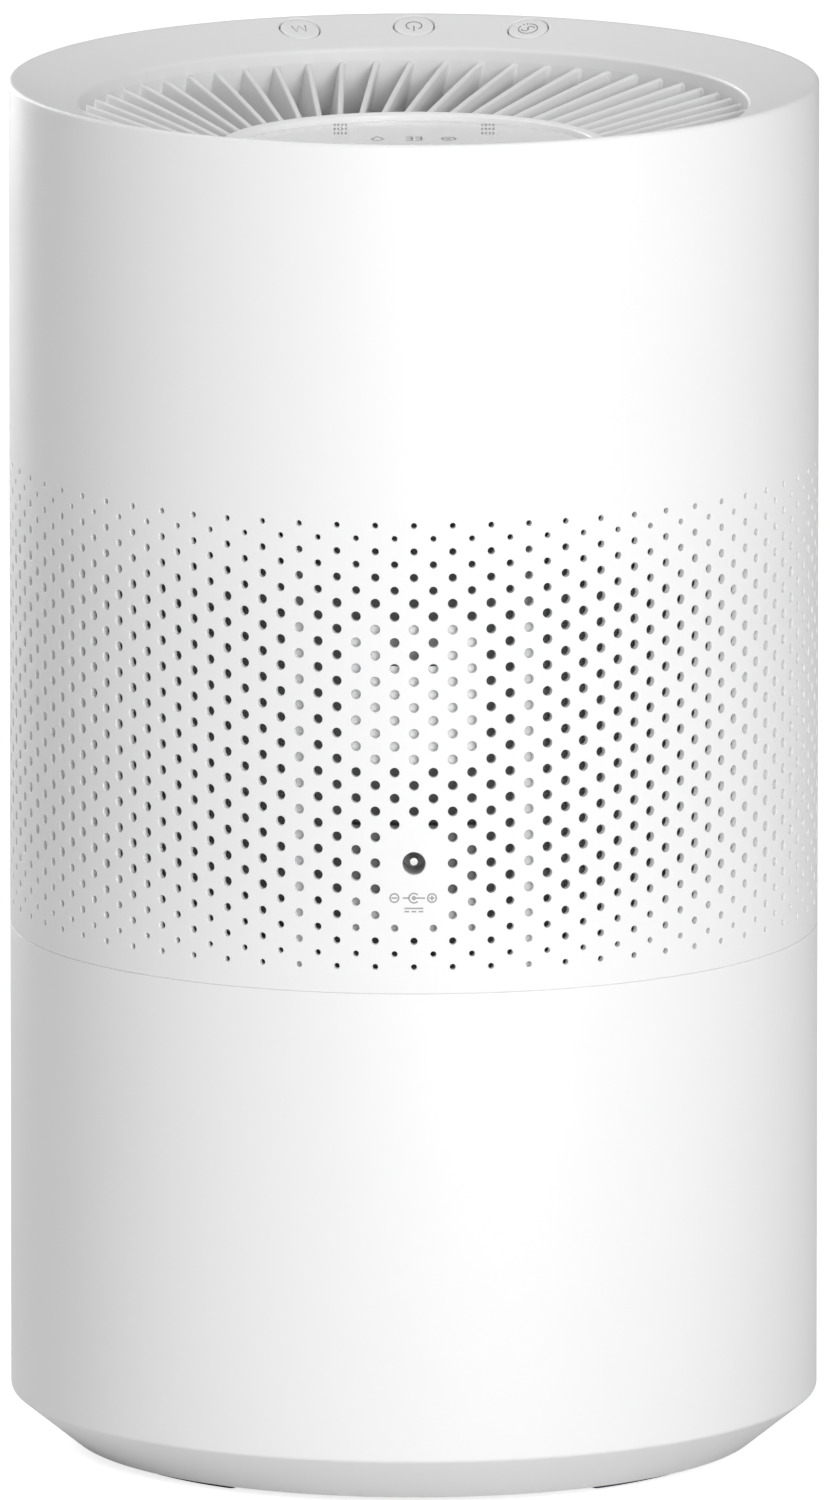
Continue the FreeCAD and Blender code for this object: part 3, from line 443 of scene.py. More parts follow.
# %% [markdown]
# Each key is a round cap that lies flush in its well, with a thin shadow gap, a flange that stops it from
# falling out, cut straight where the drum wall is near, and a stem that reaches its switch. It is turned about
# its own axis and then set into the dish.

# %% Keys
flange_r, flange_top, flange_low, flange_side = 6.9, -2.1, -3.1, -5.3
stem_r, stem_end = 1.2, -6.3


def key_cap():
    top = [(0, 0.02), (key_r - 1.6, 0.0), (key_r - 0.34, -0.02), (key_r - 0.1, -0.12), (key_r, -0.36)]
    under = [(key_r, flange_top), (flange_r, flange_top), (flange_r, flange_low), (stem_r, flange_low),
             (stem_r, stem_end), (0, stem_end)]
    points, faces = turned(top + under, 72)
    return [(x, max(y, flange_side) if z <= flange_top else y, z) for x, y, z in points], faces


keys = {}
for name, bearing in key_bearings.items():
    keys[name] = seat(mesh_object(name + "_cap", *moved(key_cap(), key_frame(bearing))), name, name)

# %% [markdown]
# The outlet grille is a wheel of sixty leaning slats between the throat and the hub under the display. A flat
# plate per slat would meet the walls at a hard line. Each slat here is lofted through stations from hub to
# throat: its top is round, and its last stations widen along a quarter circle, which is the fillet that the
# mould leaves where a slat runs into the wall.

# %% Outlet grille
blades, blade_t, blade_low = 60, 1.7, -14.15
fillet_out, fillet_in = 0.9, 0.8
blade_lean, blade_sweep, blade_phase = math.radians(11.0), math.radians(7.2), 0.6


def slat():
    root_r = hub_r + 4.5
    outer = Vector((throat_r - 0.5, 0, crest_z - 10.6))
    inner = Vector((root_r * math.cos(blade_sweep), root_r * math.sin(blade_sweep), crest_z - 19.2))
    along = outer - inner
    flat = Vector((along.x, along.y, 0))
    side = Vector((-flat.y, flat.x, 0)).normalized()
    reach = flat.dot(flat)
    lead = inner.x * flat.x + inner.y * flat.y

    def at(r):
        return (math.sqrt(lead * lead + reach * (r * r - inner.to_2d().length_squared)) - lead) / reach

    radii = [hub_r - 0.9, hub_r, hub_r + 0.25, hub_r + 0.7, hub_r + 1.5, hub_r + 8, 75.0, throat_r - 8]
    radii += [throat_r - d for d in (3.0, 0.9, 0.6, 0.35, 0.15, 0.0, -0.8)]
    points, faces = [], []
    for r in radii:
        middle = inner + along * at(r)
        gap_out, gap_in = max(0.0, throat_r - r), max(0.0, r - hub_r)
        swell = 0.0
        for gap, fillet in ((gap_out, fillet_out), (gap_in, fillet_in)):
            if gap < fillet:
                swell += fillet * 0.8 - math.sqrt(fillet ** 2 - (fillet - gap) ** 2) * 0.8
        half = blade_t / 2 + swell
        section = [(half * math.cos(math.pi * k / 8), (blade_t / 2) * math.sin(math.pi * k / 8)) for k in range(9)]
        section += [(-half, -4), (-half, blade_low + 0.35), (-half + 0.4, blade_low), (half - 0.4, blade_low),
                    (half, blade_low + 0.35), (half, -4)]
        for s, h in section:
            lean = side * (-h * math.tan(blade_lean) if h < 0 else 0)
            points.append(middle + side * s + lean + Vector((0, 0, h - blade_t / 2)))
    count = len(section)
    for k in range(len(radii) - 1):
        for i in range(count):
            j = (i + 1) % count
            faces.append([k * count + i, (k + 1) * count + i, (k + 1) * count + j, k * count + j])
    faces.append(list(range(count)))
    faces.append([(len(radii) - 1) * count + i for i in range(count)][::-1])
    return [tuple(p) for p in points], faces


one_slat = slat()
slat_turns = [math.radians(blade_phase + i * 360.0 / blades) for i in range(blades)]
wheel = [moved(one_slat, Matrix.Rotation(turn, 4, "Z")) for turn in slat_turns]
ring_low_z = crest_z - 30
throat_ring = turned(rounded([
    (throat_r, ring_low_z, 0.5), (skirt_r, ring_low_z, 0.5), (skirt_r, throat_low_z), (throat_r, throat_low_z)]))
cup_r, cup_low_z, cup_floor_z, cup_rim_z = hub_r - 2.5, crest_z - 36, crest_z - 34, crest_z - 24
hub_cup = turned(rounded([
    (0, cup_low_z), (hub_r, cup_low_z, 0.8), (hub_r, cup_rim_z), (cup_r, cup_rim_z), (cup_r, cup_floor_z),
    (0, cup_floor_z)]))
post_r, post_ring_r, screw_r = 3, 38.0, 1.05
post_low_z, post_top_z, screw_low_z = crest_z - 35, crest_z - 30, crest_z - 33.4
post = turned(rounded([
    (0, post_low_z), (post_r, post_low_z), (post_r, post_top_z, 0.3), (screw_r, post_top_z), (screw_r, screw_low_z),
    (0, screw_low_z)]), 32)
posts = [moved(post, Matrix.Translation(spot(post_ring_r, b, 0))) for b in (45, 135, 225, 315)]
grille = mesh_object("outlet_wheel", *together(throat_ring, hub_cup, *posts, *wheel), 40)
seat(grille, "head", "outlet_grille")

# %% [markdown]
# The display is a round panel inside a raised, softly rolled ring. Both are turned. The panel has a slight
# crown and a rounded edge, which gives it the line of shade against the ring.

# %% Display ring and panel
display_r = 51.2
bezel_top, seat_z = crest_z - 18.2, crest_z - 22.0
ring_profile = rounded([
    (display_r - 2.7, cup_rim_z), (display_r - 2.7, seat_z), (display_r + 0.1, seat_z),
    (display_r + 0.1, bezel_top - 0.9, 0.5), (display_r + 2.4, bezel_top + 0.12, 2.2), (hub_r, bezel_top - 2.4, 1.6),
    (hub_r, cup_rim_z)], 6)
ring = seat(mesh_object("display_ring", *turned(ring_profile), 40), "head", "display_bezel")
panel_z = crest_z - 20.5
panel_profile = [(0, panel_z), (30, panel_z - 0.01), (46, panel_z - 0.03), (display_r - 0.3, panel_z - 0.04),
                 (display_r - 0.06, panel_z - 0.07), (display_r, panel_z - 0.14), (display_r, panel_z - 1.5),
                 (0, panel_z - 1.5)]
panel = seat(mesh_object("display_panel", *turned(panel_profile), 40), "head", "display_lens")


# %% [markdown]
# Signs are pad printed: a film of ink a few hundredths of a millimetre thick. A texture would need an image,
# so each sign is drawn as strokes in a plane, given that small thickness, and laid on its surface by a
# function that maps plane to surface. All the signs are generic: a zigzag wave for the mode, a broken ring with
# a bar for power, a ring with two curls of air for drying, rows of short bars, a drop and an oval on the display,
# and the symbols for direct current and a positive centre pin.

# %% Printed signs
film, film_sunk = 0.05, 0.03


def stroke(path, width, place, closed=False):
    """A thin flat ribbon along a path in the plane, as points and faces on the surface that place maps to."""
    pts = [Vector(p) for p in path]
    count = len(pts)
    points, faces = [], []
    for i, p in enumerate(pts):
        before = pts[i - 1] if closed or i else p
        after = pts[(i + 1) % count] if closed or i < count - 1 else p
        run = (after - before).normalized()
        side = Vector((-run.y, run.x)) * width / 2
        for q, h in ((p + side, film), (p - side, film), (p - side, -film_sunk), (p + side, -film_sunk)):
            points.append(tuple(place(q.x, q.y, h)))
    for i in range(count if closed else count - 1):
        j = (i + 1) % count
        for k in range(4):
            m = (k + 1) % 4
            faces.append([4 * i + k, 4 * i + m, 4 * j + m, 4 * j + k])
    if not closed:
        faces += [[3, 2, 1, 0], [4 * count - 4, 4 * count - 3, 4 * count - 2, 4 * count - 1]]
    return points, faces


def circle(cx, cy, r, a0=0.0, a1=360.0, steps=32):
    whole = abs(a1 - a0) > 359
    n = steps if whole else steps + 1
    turns = [math.radians(a0 + (a1 - a0) * k / steps) for k in range(n)]
    return [(cx + r * math.cos(a), cy + r * math.sin(a)) for a in turns]


def on_plane(matrix):
    return lambda u, v, h: matrix @ Vector((u, v, h))


def on_drum(z):
    return lambda u, v, h: Vector(spot(body_r + h, math.degrees(u / body_r), z + v))


def drawn(*path, width=0):
    """An open stroke; a width of 0 means the sign's own width."""
    return path, False, width


def ringed(*path, width=0):
    return path, True, width


def sign(name, body, strokes, place, width):
    parts = [stroke(path, own or width, place, closed) for path, closed, own in strokes]
    return seat(mesh_object(name, *together(*parts), 20), body)


# %% Signs on the keys
key_signs = {
    "mode": (0.34, [drawn((-2.0, -1.7), (-1.4, 1.7), (0, -1.5), (1.4, 1.7), (2.0, -1.7))]),
    "power": (0.34, [drawn(*circle(0, 0, 2.2, 125, 415)), drawn((0, 0.1), (0, 3.0))]),
    "dry": (0.3, [drawn(*circle(0, 0, 2.7, -28, 282)), drawn((0.8, -2.2), (1.1, -3.0)),
                  drawn((1.6, -1.8), (2.1, -2.5)), drawn(*circle(0.75, 0.4, 0.95, 0, 240, 16)),
                  drawn(*circle(-0.75, -0.4, 0.95, 180, 420, 16))])}
signs = [sign("sign_" + key, "key_" + key, strokes, on_plane(key_frame(key_bearings["key_" + key])), width)
         for key, (width, strokes) in key_signs.items()]

# %% Signs on the display
on_panel = on_plane(Matrix.Translation((0, 0, panel_z - 0.02)))
faint = []
for x in (-20.6, 20.7):
    for y in (29.5, 37.0, 44.0):
        faint += [drawn((x + dx, y - 1.5), (x + dx, y + 1.5), width=0.5) for dx in (-1.6, -0.55, 0.5, 1.55)]
icon_low, icon_mid, icon_high = 17.4, 20.3, 23.2
faint += [ringed((-10.2, 24.0), (-11.5, 20.9), (-11.8, 19.4), (-11.0, 17.6), (-10.2, 17.0), (-9.4, 17.6),
                 (-8.6, 19.4), (-8.9, 20.9), width=0.5)]
faint += [ringed(*((x, icon_mid + 1.5 * y) for x, y in circle(9.7, 0, 1.9)), width=0.55)]
faint += [ringed(*circle(9.7, icon_mid, 0.6, steps=16), width=0.5)]
for x in (-1.4, 1.2):
    faint += [drawn((x - 0.9, y), (x + 0.9, y), width=0.6) for y in (icon_high, icon_mid, icon_low)]
    faint += [drawn((x + 0.9, icon_high), (x + 0.9, icon_low), width=0.5)]
signs.append(sign("sign_display", "head", faint, on_panel, 0.5))

# %% Sign under the inlet
supply = [drawn(*circle(0, 0, 1.35, 40, 320, 24)), ringed(*circle(0, 0, 0.35, steps=16), width=0.5)]
supply += [drawn((x0, 0), (x1, 0)) for x0, x1 in ((0.5, 3.1), (-1.35, -3.1), (-6.2, -4.6))]
supply += [ringed(*circle(-5.4, 0, 1.2)), ringed(*circle(5.0, 0, 1.2))]
supply += [drawn((4.3, 0), (5.7, 0)), drawn((5.0, -0.7), (5.0, 0.7)), drawn((-2.6, -2.9), (2.6, -2.9))]
supply += [drawn((x - 0.65, -3.8), (x + 0.65, -3.8)) for x in (-1.95, 0.0, 1.95)]
signs.append(sign("sign_supply", "head", supply, on_drum(jack_z - 9.7), 0.42))

# %% [markdown]
# Behind the holes hangs a dust screen: a curved plastic lattice with fine net stretched over it. The lattice is
# real geometry, hoops and uprights of their own, and the net between them is a thin curved sheet whose weave
# comes from its finish, because its threads are a tenth of a millimetre.

# %% Dust screen
sleeve_r = inner_r - 4.6
screen_edge = 18.0
screen_low, screen_high = head_z + 5.1, 283.0
screen_span = 360 - 2 * screen_edge


def block_turned(r0, r1, z0, z1, start, span, segments):
    return turned(rounded([(r0, z0, 0.2), (r1, z0, 0.2), (r1, z1, 0.2), (r0, z1, 0.2)], 2), segments, start, span)


hoop_h, upright_span, upright_count = 1.8, 1.2, 13
hoops = [block_turned(sleeve_r, sleeve_r + 1.2, z, z + hoop_h, screen_edge, screen_span, 160)
         for z in np.linspace(screen_low, screen_high - hoop_h, 6)]
step = (screen_span - upright_span) / (upright_count - 1)
uprights = [block_turned(sleeve_r + 0.05, sleeve_r + 1.15, screen_low + 1, screen_high - 1,
                         screen_edge + i * step, upright_span, 3) for i in range(upright_count)]
net = block_turned(sleeve_r + 0.4, sleeve_r + 0.75, screen_low + 0.9, screen_high - 0.9,
                   screen_edge + upright_span / 2, screen_span - upright_span, 160)
dust_frame = seat(mesh_object("dust_screen_frame", *together(*hoops, *uprights)), "head", "prefilter_mesh")
dust_net = seat(mesh_object("dust_screen_net", *net), "head", "prefilter_mesh")

# %% [markdown]
# The wick is a sheet of absorbent paper folded into 72 pleats and stood in a ring. Straight folds would look
# like cut metal. This one follows a smooth wave round the ring, keeps its thickness on the slopes, and each
# height is turned a little, from a fixed seed, because wet paper never stays true.

# %% Wick
wick_low, wick_high = 8.0, 281.0
pleats, per_pleat, levels = 72, 12, 18
random_turn = np.random.default_rng(7)


def wick_mesh():
    tip_out, tip_in, thick = 80.7, 62.9, 1.5
    t = 2 * np.pi * np.arange(pleats * per_pleat) / (pleats * per_pleat)
    wave = np.cos(pleats * t)
    wave = np.sign(wave) * np.abs(wave) ** 0.85
    middle = (tip_out + tip_in) / 2 + wave * (tip_out - tip_in - thick) / 2
    line = np.stack([middle * np.sin(t), -middle * np.cos(t)], 1)
    tangent = np.roll(line, -1, 0) - np.roll(line, 1, 0)
    side = np.stack([tangent[:, 1], -tangent[:, 0]], 1) / np.linalg.norm(tangent, axis=1)[:, None]
    loops = [line + side * thick * 0.42, line - side * thick * 0.42]
    sway = random_turn.normal(0, 1, (levels, pleats))
    points, faces = [], []
    count = len(t)
    for k in range(levels):
        z = wick_low + (wick_high - wick_low) * k / (levels - 1)
        ease = min(1.0, k / 2, (levels - 1 - k) / 2)
        drift = np.repeat(sway[k], per_pleat) * 0.0025 * ease
        for loop in loops:
            r = np.linalg.norm(loop, axis=1)
            a = np.arctan2(loop[:, 0], -loop[:, 1]) + drift
            points += np.stack([r * np.sin(a), -r * np.cos(a), np.full(count, z)], 1).tolist()
    for k in range(levels - 1):
        for i in range(count):
            j = (i + 1) % count
            a, b = 2 * k * count, 2 * (k + 1) * count
            faces.append([a + i, b + i, b + j, a + j])
            faces.append([a + count + i, a + count + j, b + count + j, b + count + i])
    top = 2 * (levels - 1) * count
    for i in range(count):
        j = (i + 1) % count
        faces.append([i, j, count + j, count + i])
        faces.append([top + i, top + count + i, top + count + j, top + j])
    return points, faces


wick = seat(mesh_object("wick_paper", *wick_mesh(), 60), "filter", "wick_filter")

# %% [markdown]
# Where the filter meets the fan deck there is a soft foam gasket. Foam has no true edges: its profile is
# rounded, and a fine noise moves its skin in and out by a tenth of a millimetre.

# %% Foam gasket
seal_in, seal_out, seal_low, seal_high = 62.0, 78.8, 282.9, 285.9
seal_profile = [(seal_in, seal_low, 1.1), (seal_out, seal_low, 1.1), (seal_out, seal_high, 0.6),
                (seal_in, seal_high, 0.6)]
gasket_points, gasket_faces = turned(rounded(seal_profile, 5), 300)
shake = np.random.default_rng(3).normal(0, 0.05, (len(gasket_points), 3))
gasket_points = [tuple(np.array(p) + s) for p, s in zip(gasket_points, shake)]
gasket = seat(mesh_object("foam_gasket", gasket_points, gasket_faces, 180), "head", "deck_seal")

# %% [markdown]
# ## Finishes
# Every finish is a Principled shader with detail from nodes. What several finishes share is built once as a
# node group. The first is the skin of moulded plastic: a mould is sparked to a fine even grain, and the melt
# leaves very faint broad changes of tone. The group gives a height for the bump, a roughness and a tone.

# %% Node tools
def group(name, inputs, outputs):
    tree = bpy.data.node_groups.new(name, "ShaderNodeTree")
    for label, default in inputs:
        socket = tree.interface.new_socket(label, in_out="INPUT", socket_type="NodeSocketFloat")
        socket.default_value = default
    for label in outputs:
        tree.interface.new_socket(label, in_out="OUTPUT", socket_type="NodeSocketFloat")
    return tree, tree.nodes.new("NodeGroupInput"), tree.nodes.new("NodeGroupOutput")


def node(tree, kind, values=(), **settings):
    """A node with its settings, and with input values given as {name or index: value or output socket}."""
    made = tree.nodes.new(kind)
    for key, value in settings.items():
        setattr(made, key, value)
    for key, value in dict(values).items():
        if isinstance(value, bpy.types.NodeSocket):
            tree.links.new(value, made.inputs[key])
        else:
            made.inputs[key].default_value = value
    return made


def maths(tree, operation, *values):
    """The output of a Math node; values are numbers or output sockets."""
    return node(tree, "ShaderNodeMath", dict(enumerate(values)), operation=operation).outputs[0]


def spread(tree, value, low, high, start=0.0, end=1.0):
    """value, from start to end, spread to the range from low to high."""
    return node(tree, "ShaderNodeMapRange", {
        "Value": value, "From Min": start, "From Max": end, "To Min": low, "To Max": high}).outputs[0]


def surface_place(tree):
    return node(tree, "ShaderNodeTexCoord").outputs["Object"]


def noise(tree, where, scale, detail=2.0, rough=0.5):
    return node(tree, "ShaderNodeTexNoise", {
        "Vector": where, "Scale": scale, "Detail": detail, "Roughness": rough}).outputs[0]


# %% Moulded grain group
grain, grain_in, grain_out = group(
    "moulded_grain", [("Size", 1.0), ("Rough low", 0.4), ("Rough high", 0.5), ("Tone low", 0.98)],
    ["Height", "Rough", "Tone"])
where = surface_place(grain)
fine = noise(grain, where, maths(grain, "DIVIDE", 2600.0, grain_in.outputs["Size"]))
broad = noise(grain, where, 24.0, 3.0)
grain.links.new(fine, grain_out.inputs["Height"])
for label, low, high in (("Rough", grain_in.outputs["Rough low"], grain_in.outputs["Rough high"]),
                         ("Tone", grain_in.outputs["Tone low"], 1.0)):
    grain.links.new(spread(grain, broad, low, high), grain_out.inputs[label])
print("grain group:", len(grain.nodes), "nodes")

# %% [markdown]
# The second group is a weave: two sets of waves at right angles, taken round the drum and up it. It makes the
# net of the dust screen, and, coarser, the fibres of the wick. The third is a set of fine parallel scratches
# for turned and rolled metal.

# %% Weave and brushed groups
weave, weave_in, weave_out = group("weave", [("Threads", 900.0), ("Slack", 0.3)], ["Height", "Gap"])
where = surface_place(weave)
axes = node(weave, "ShaderNodeSeparateXYZ", {0: where}).outputs
net_r = 0.107
warp = maths(weave, "MULTIPLY", maths(weave, "ARCTAN2", axes[0], axes[1]), net_r)
slack = noise(weave, where, 90.0)
threads = []
for along in (warp, axes[2]):
    bent = maths(weave, "ADD", along, maths(weave, "MULTIPLY", slack, 0.001))
    phase = maths(weave, "MULTIPLY", bent, weave_in.outputs["Threads"])
    wave = maths(weave, "COSINE", maths(weave, "MULTIPLY", phase, 2 * math.pi))
    threads.append(spread(weave, wave, 0.0, 1.0, start=-1.0))
height = maths(weave, "MAXIMUM", *threads)
weave.links.new(height, weave_out.inputs["Height"])
weave.links.new(spread(weave, height, 1.0, 0.0, 0.25, 0.6), weave_out.inputs["Gap"])

brushed, brushed_in, brushed_out = group("brushed", [("Lines", 1.0)], ["Height", "Rough"])
across_and_up = (60.0, 60.0, 4200.0)
stretch = node(brushed, "ShaderNodeVectorMath", {0: surface_place(brushed), 1: across_and_up}, operation="MULTIPLY")
lines = noise(brushed, stretch.outputs[0], brushed_in.outputs["Lines"], 3.0)
brushed.links.new(lines, brushed_out.inputs["Height"])
brushed.links.new(spread(brushed, lines, 0.22, 0.5), brushed_out.inputs["Rough"])
print("groups:", [g.name for g in bpy.data.node_groups])


# %% [markdown]
# A moulded finish is then one call: its colour, how rough it is, how big its grain is. The tone multiplies the
# colour, so a white part is never one flat number. The outside of the unit is a satin white, the outlet wheel
# is the same resin with a finer polish, and the parts inside are natural grey-white.

# %% Moulded plastics
def shader(name, rough=0.5):
    material = bpy.data.materials.new(name)
    material.use_nodes = True
    tree = material.node_tree
    principled = tree.nodes["Principled BSDF"]
    principled.inputs["Roughness"].default_value = rough
    return material, tree, principled


def bump(tree, height, principled, strength, distance):
    made = node(tree, "ShaderNodeBump", {"Height": height, "Strength": strength, "Distance": distance})
    tree.links.new(made.outputs[0], principled.inputs["Normal"])


def tint(tree, principled, color, tone):
    """Gives the base colour, multiplied by a tone that changes over the surface."""
    mixed = node(tree, "ShaderNodeMix", {0: 1.0, 6: (*color, 1), 7: tone}, data_type="RGBA", blend_type="MULTIPLY")
    tree.links.new(mixed.outputs[2], principled.inputs["Base Color"])


def moulded(name, color, rough=(0.38, 0.5), size=1.0, tone=0.97, depth=0.00002, strength=0.25, coat=0.0):
    material, tree, principled = shader(name)
    skin = node(tree, "ShaderNodeGroup", {
        "Size": size, "Rough low": rough[0], "Rough high": rough[1], "Tone low": tone}, node_tree=grain)
    tint(tree, principled, color, skin.outputs["Tone"])
    tree.links.new(skin.outputs["Rough"], principled.inputs["Roughness"])
    bump(tree, skin.outputs["Height"], principled, strength, depth)
    principled.inputs["Coat Weight"].default_value = coat
    principled.inputs["Coat Roughness"].default_value = 0.12
    return material


white = (0.83, 0.83, 0.832)
shell_white = moulded("satin_white_shell", white, (0.36, 0.46), 1.0, 0.985)
wheel_white = moulded("outlet_white", (0.8, 0.8, 0.803), (0.4, 0.5), 0.8, 0.985)
ring_white = moulded("polished_white_ring", (0.99, 0.99, 0.99), (0.3, 0.4), 0.6, 0.99, strength=0.1, coat=0.2)
panel_white = moulded("display_window", (0.86, 0.86, 0.862), (0.16, 0.24), 0.5, 0.99, strength=0.05, coat=0.4)
frame_white = moulded("inner_frame_white", (0.56, 0.565, 0.57), (0.42, 0.55), 1.4, 0.96)
inner_white = moulded("air_path_white", (0.78, 0.785, 0.79), (0.42, 0.55), 1.4, 0.96)
screen_grey = moulded("dust_frame_grey", (0.3, 0.303, 0.308), (0.5, 0.62), 1.5, 0.92)
smoke_grey = moulded("panel_grey", (0.36, 0.363, 0.37), (0.5, 0.62), 1.5, 0.9)
dark_plastic = moulded("black_plastic", (0.028, 0.028, 0.03), (0.42, 0.55), 1.2, 0.88)
jack_grey = moulded("inlet_dark_grey", (0.5, 0.502, 0.508), (0.3, 0.42), 0.8, 0.9)
filter_grey = moulded("filter_ring_blue_grey", (0.42, 0.5, 0.56), (0.45, 0.58), 1.4, 0.94)
cage_white = moulded("filter_cage_white", (0.7, 0.71, 0.72), (0.45, 0.58), 1.4, 0.94)
float_blue = moulded("float_pale_blue", (0.42, 0.6, 0.74), (0.5, 0.62), 2.2, 0.9, 0.00006)
fan_grey = moulded("impeller_grey", (0.46, 0.47, 0.48), (0.34, 0.46), 1.2, 0.94)
ink_grey = moulded("pad_print_grey", (0.24, 0.24, 0.245), (0.5, 0.6), 1.0, 0.9)
ink_pale = moulded("pad_print_pale", (0.34, 0.34, 0.345), (0.5, 0.6), 1.0, 0.94)
ink_faint = moulded("window_print_faint", (0.3, 0.3, 0.305), (0.4, 0.5), 1.0, 0.94)
lamp_milk = moulded("lamp_milky_resin", (0.8, 0.79, 0.7), (0.25, 0.35), 0.6, 0.96, coat=0.3)
sensor_grey = moulded("sensor_cap_grey", (0.6, 0.602, 0.608), (0.45, 0.6), 0.7, 0.9)
print(len(bpy.data.materials), "moulded finishes")

# %% [markdown]
# Rubber, foam, net, paper, circuit board and metal each behave in their own way. Rubber and foam are matt with
# coarse grain or open cells, the net is an opaque sheet with painted shade in the gaps between its threads, the paper
# is fibrous, and the board shows its copper tracks as faint raised lines under green lacquer.

# %% Soft and technical finishes
foot_rubber = moulded("foot_rubber", (0.06, 0.06, 0.063), (0.75, 0.9), 2.5, 0.75, 0.00008, 0.6)

foam, tree, principled = shader("gasket_foam", 0.95)
cells = node(tree, "ShaderNodeTexVoronoi", {"Vector": surface_place(tree), "Scale": 1500.0}).outputs["Distance"]
tint(tree, principled, (0.05, 0.052, 0.055), spread(tree, cells, 1.0, 0.35))
bump(tree, cells, principled, 0.8, 0.0002)

net_dark, tree, principled = shader("dust_net", 0.7)
cloth = node(tree, "ShaderNodeGroup", {"Threads": 1250.0}, node_tree=weave)
# Painted shade: the net is an opaque sheet, and the gaps between its threads are painted darker for the shade seen
# through them.
tint(tree, principled, (0.3, 0.303, 0.308), spread(tree, cloth.outputs["Gap"], 1.0, 0.45))
principled.inputs["Sheen Weight"].default_value = 0.2
bump(tree, cloth.outputs["Height"], principled, 0.7, 0.0002)

paper, tree, principled = shader("wick_paper_fibre", 0.92)
cloth = node(tree, "ShaderNodeGroup", {"Threads": 260.0}, node_tree=weave)
where = surface_place(tree)
fibre = noise(tree, where, 700.0, 6.0, 0.7)
height_up = node(tree, "ShaderNodeSeparateXYZ", {0: where}).outputs[2]
damp = spread(tree, height_up, 0.86, 1.0, 0.02, 0.12)
tint(tree, principled, (0.78, 0.77, 0.72), maths(tree, "MULTIPLY", damp, spread(tree, fibre, 0.86, 1.0)))
bump(tree, maths(tree, "ADD", cloth.outputs["Height"], fibre), principled, 0.6, 0.0003)

board_green, tree, principled = shader("board_lacquer", 0.32)
tracks = node(tree, "ShaderNodeTexBrick", {
    "Vector": surface_place(tree), "Scale": 160.0, "Mortar Size": 0.06, "Mortar": (1, 1, 1, 1),
    "Color1": (0, 0, 0, 1), "Color2": (0, 0, 0, 1)}).outputs["Color"]
tint(tree, principled, (0.025, 0.16, 0.07), spread(tree, tracks, 0.8, 1.7))
bump(tree, tracks, principled, 0.5, 0.00005)


def metal(name, color, lines=1.0):
    material, tree, principled = shader(name)
    lined = node(tree, "ShaderNodeGroup", {"Lines": lines}, node_tree=brushed)
    tint(tree, principled, color, spread(tree, lined.outputs["Height"], 0.82, 1.0))
    tree.links.new(lined.outputs["Rough"], principled.inputs["Roughness"])
    principled.inputs["Metallic"].default_value = 1.0
    bump(tree, lined.outputs["Height"], principled, 0.3, 0.00003)
    return material


# Painted shade: the bracket's tone is made much darker above row 28.5 than below it, for the shade over its upper
# part inside the drum.
bracket_grey = moulded("bracket_painted_shade", (0.8, 0.8, 0.8), (0.45, 0.58), 1.4, 0.95)
tree = bracket_grey.node_tree
height_up = node(tree, "ShaderNodeSeparateXYZ", {0: surface_place(tree)}).outputs[2]
painted_shade_above = spread(tree, height_up, 0.62, 0.16, row_z(28.8) * MM, row_z(28.5) * MM)
skin_mix = [n for n in tree.nodes if n.bl_idname == "ShaderNodeMix"][0]
tone = skin_mix.inputs[7].links[0].from_socket
tree.links.new(maths(tree, "MULTIPLY", tone, painted_shade_above), skin_mix.inputs[7])

steel = metal("drawn_steel", (0.62, 0.62, 0.63))
nickel = metal("bright_nickel", (0.78, 0.77, 0.74), 0.5)
lamination = metal("stator_steel", (0.32, 0.33, 0.35), 2.0)
copper = metal("winding_copper", (0.72, 0.34, 0.16), 1.6)
ferrite = moulded("ferrite_magnet", (0.035, 0.034, 0.036), (0.5, 0.65), 2.0, 0.8)
lead_red = moulded("lead_sleeve", (0.42, 0.03, 0.03), (0.4, 0.5), 1.0, 0.92)
print(len(bpy.data.materials), "finishes in all")

# %% [markdown]
# Last, each piece gets its finish. CAD nodes that are already the right shape stay as they are and are only
# smoothed: edges sharper than 30 degrees stay crisp, everything flatter shades as one surface.

# %% Give out the finishes
made_pieces = [
    (shell_white, [tank, shell, *bands, *keys.values()]), (foot_rubber, [feet]), (wheel_white, [grille]),
    (ring_white, [ring]), (panel_white, [panel]), (ink_grey, signs[:3]), (ink_faint, signs[3:4]),
    (ink_pale, signs[4:]), (screen_grey, [dust_frame]), (net_dark, [dust_net]), (paper, [wick]), (foam, [gasket])]
for finish, objects in made_pieces:
    for obj in objects:
        obj.data.materials.clear()
        obj.data.materials.append(finish)

node_finish = {
    bracket_grey: ["jack_bracket"],
    frame_white: ["inner_frame", "filter_seat", "float_guide", "level_sensor"],
    inner_white: ["sensor_box", "fan_deck", "fan_housing", "diffuser", "motor_base"],
    smoke_grey: ["rear_panel"], jack_grey: ["dc_jack_body"], dark_plastic: ["key_switches"],
    filter_grey: ["filter_bottom_ring", "filter_top_ring"], cage_white: ["filter_core"], float_blue: ["float_body"],
    ferrite: ["float_magnet", "rotor_magnet"], fan_grey: ["impeller"],
    nickel: ["dc_jack_pin", "motor_shaft", "shaft_clip"],
    steel: ["rotor_can", "motor_bearings", "deck_screws", "housing_screws", "display_screws", "key_screws",
            "motor_screws"],
    lamination: ["motor_stator"], copper: ["motor_windings"], lead_red: ["power_leads"], lamp_milk: ["display_lamps"],
    sensor_grey: ["humidity_sensor"],
    board_green: ["jack_board", "display_board", "key_board", "motor_board", "main_board"]}
for finish, names in node_finish.items():
    for name in names:
        mesh = nodes[name].data
        mesh.materials.clear()
        mesh.materials.append(finish)
        mesh.polygons.foreach_set("use_smooth", [True] * len(mesh.polygons))
        mesh.set_sharp_from_angle(angle=math.radians(30))
bare = [n for n, o in nodes.items() if not o.hide_render and n not in sum(node_finish.values(), [])]
print("nodes without a finish:", bare)

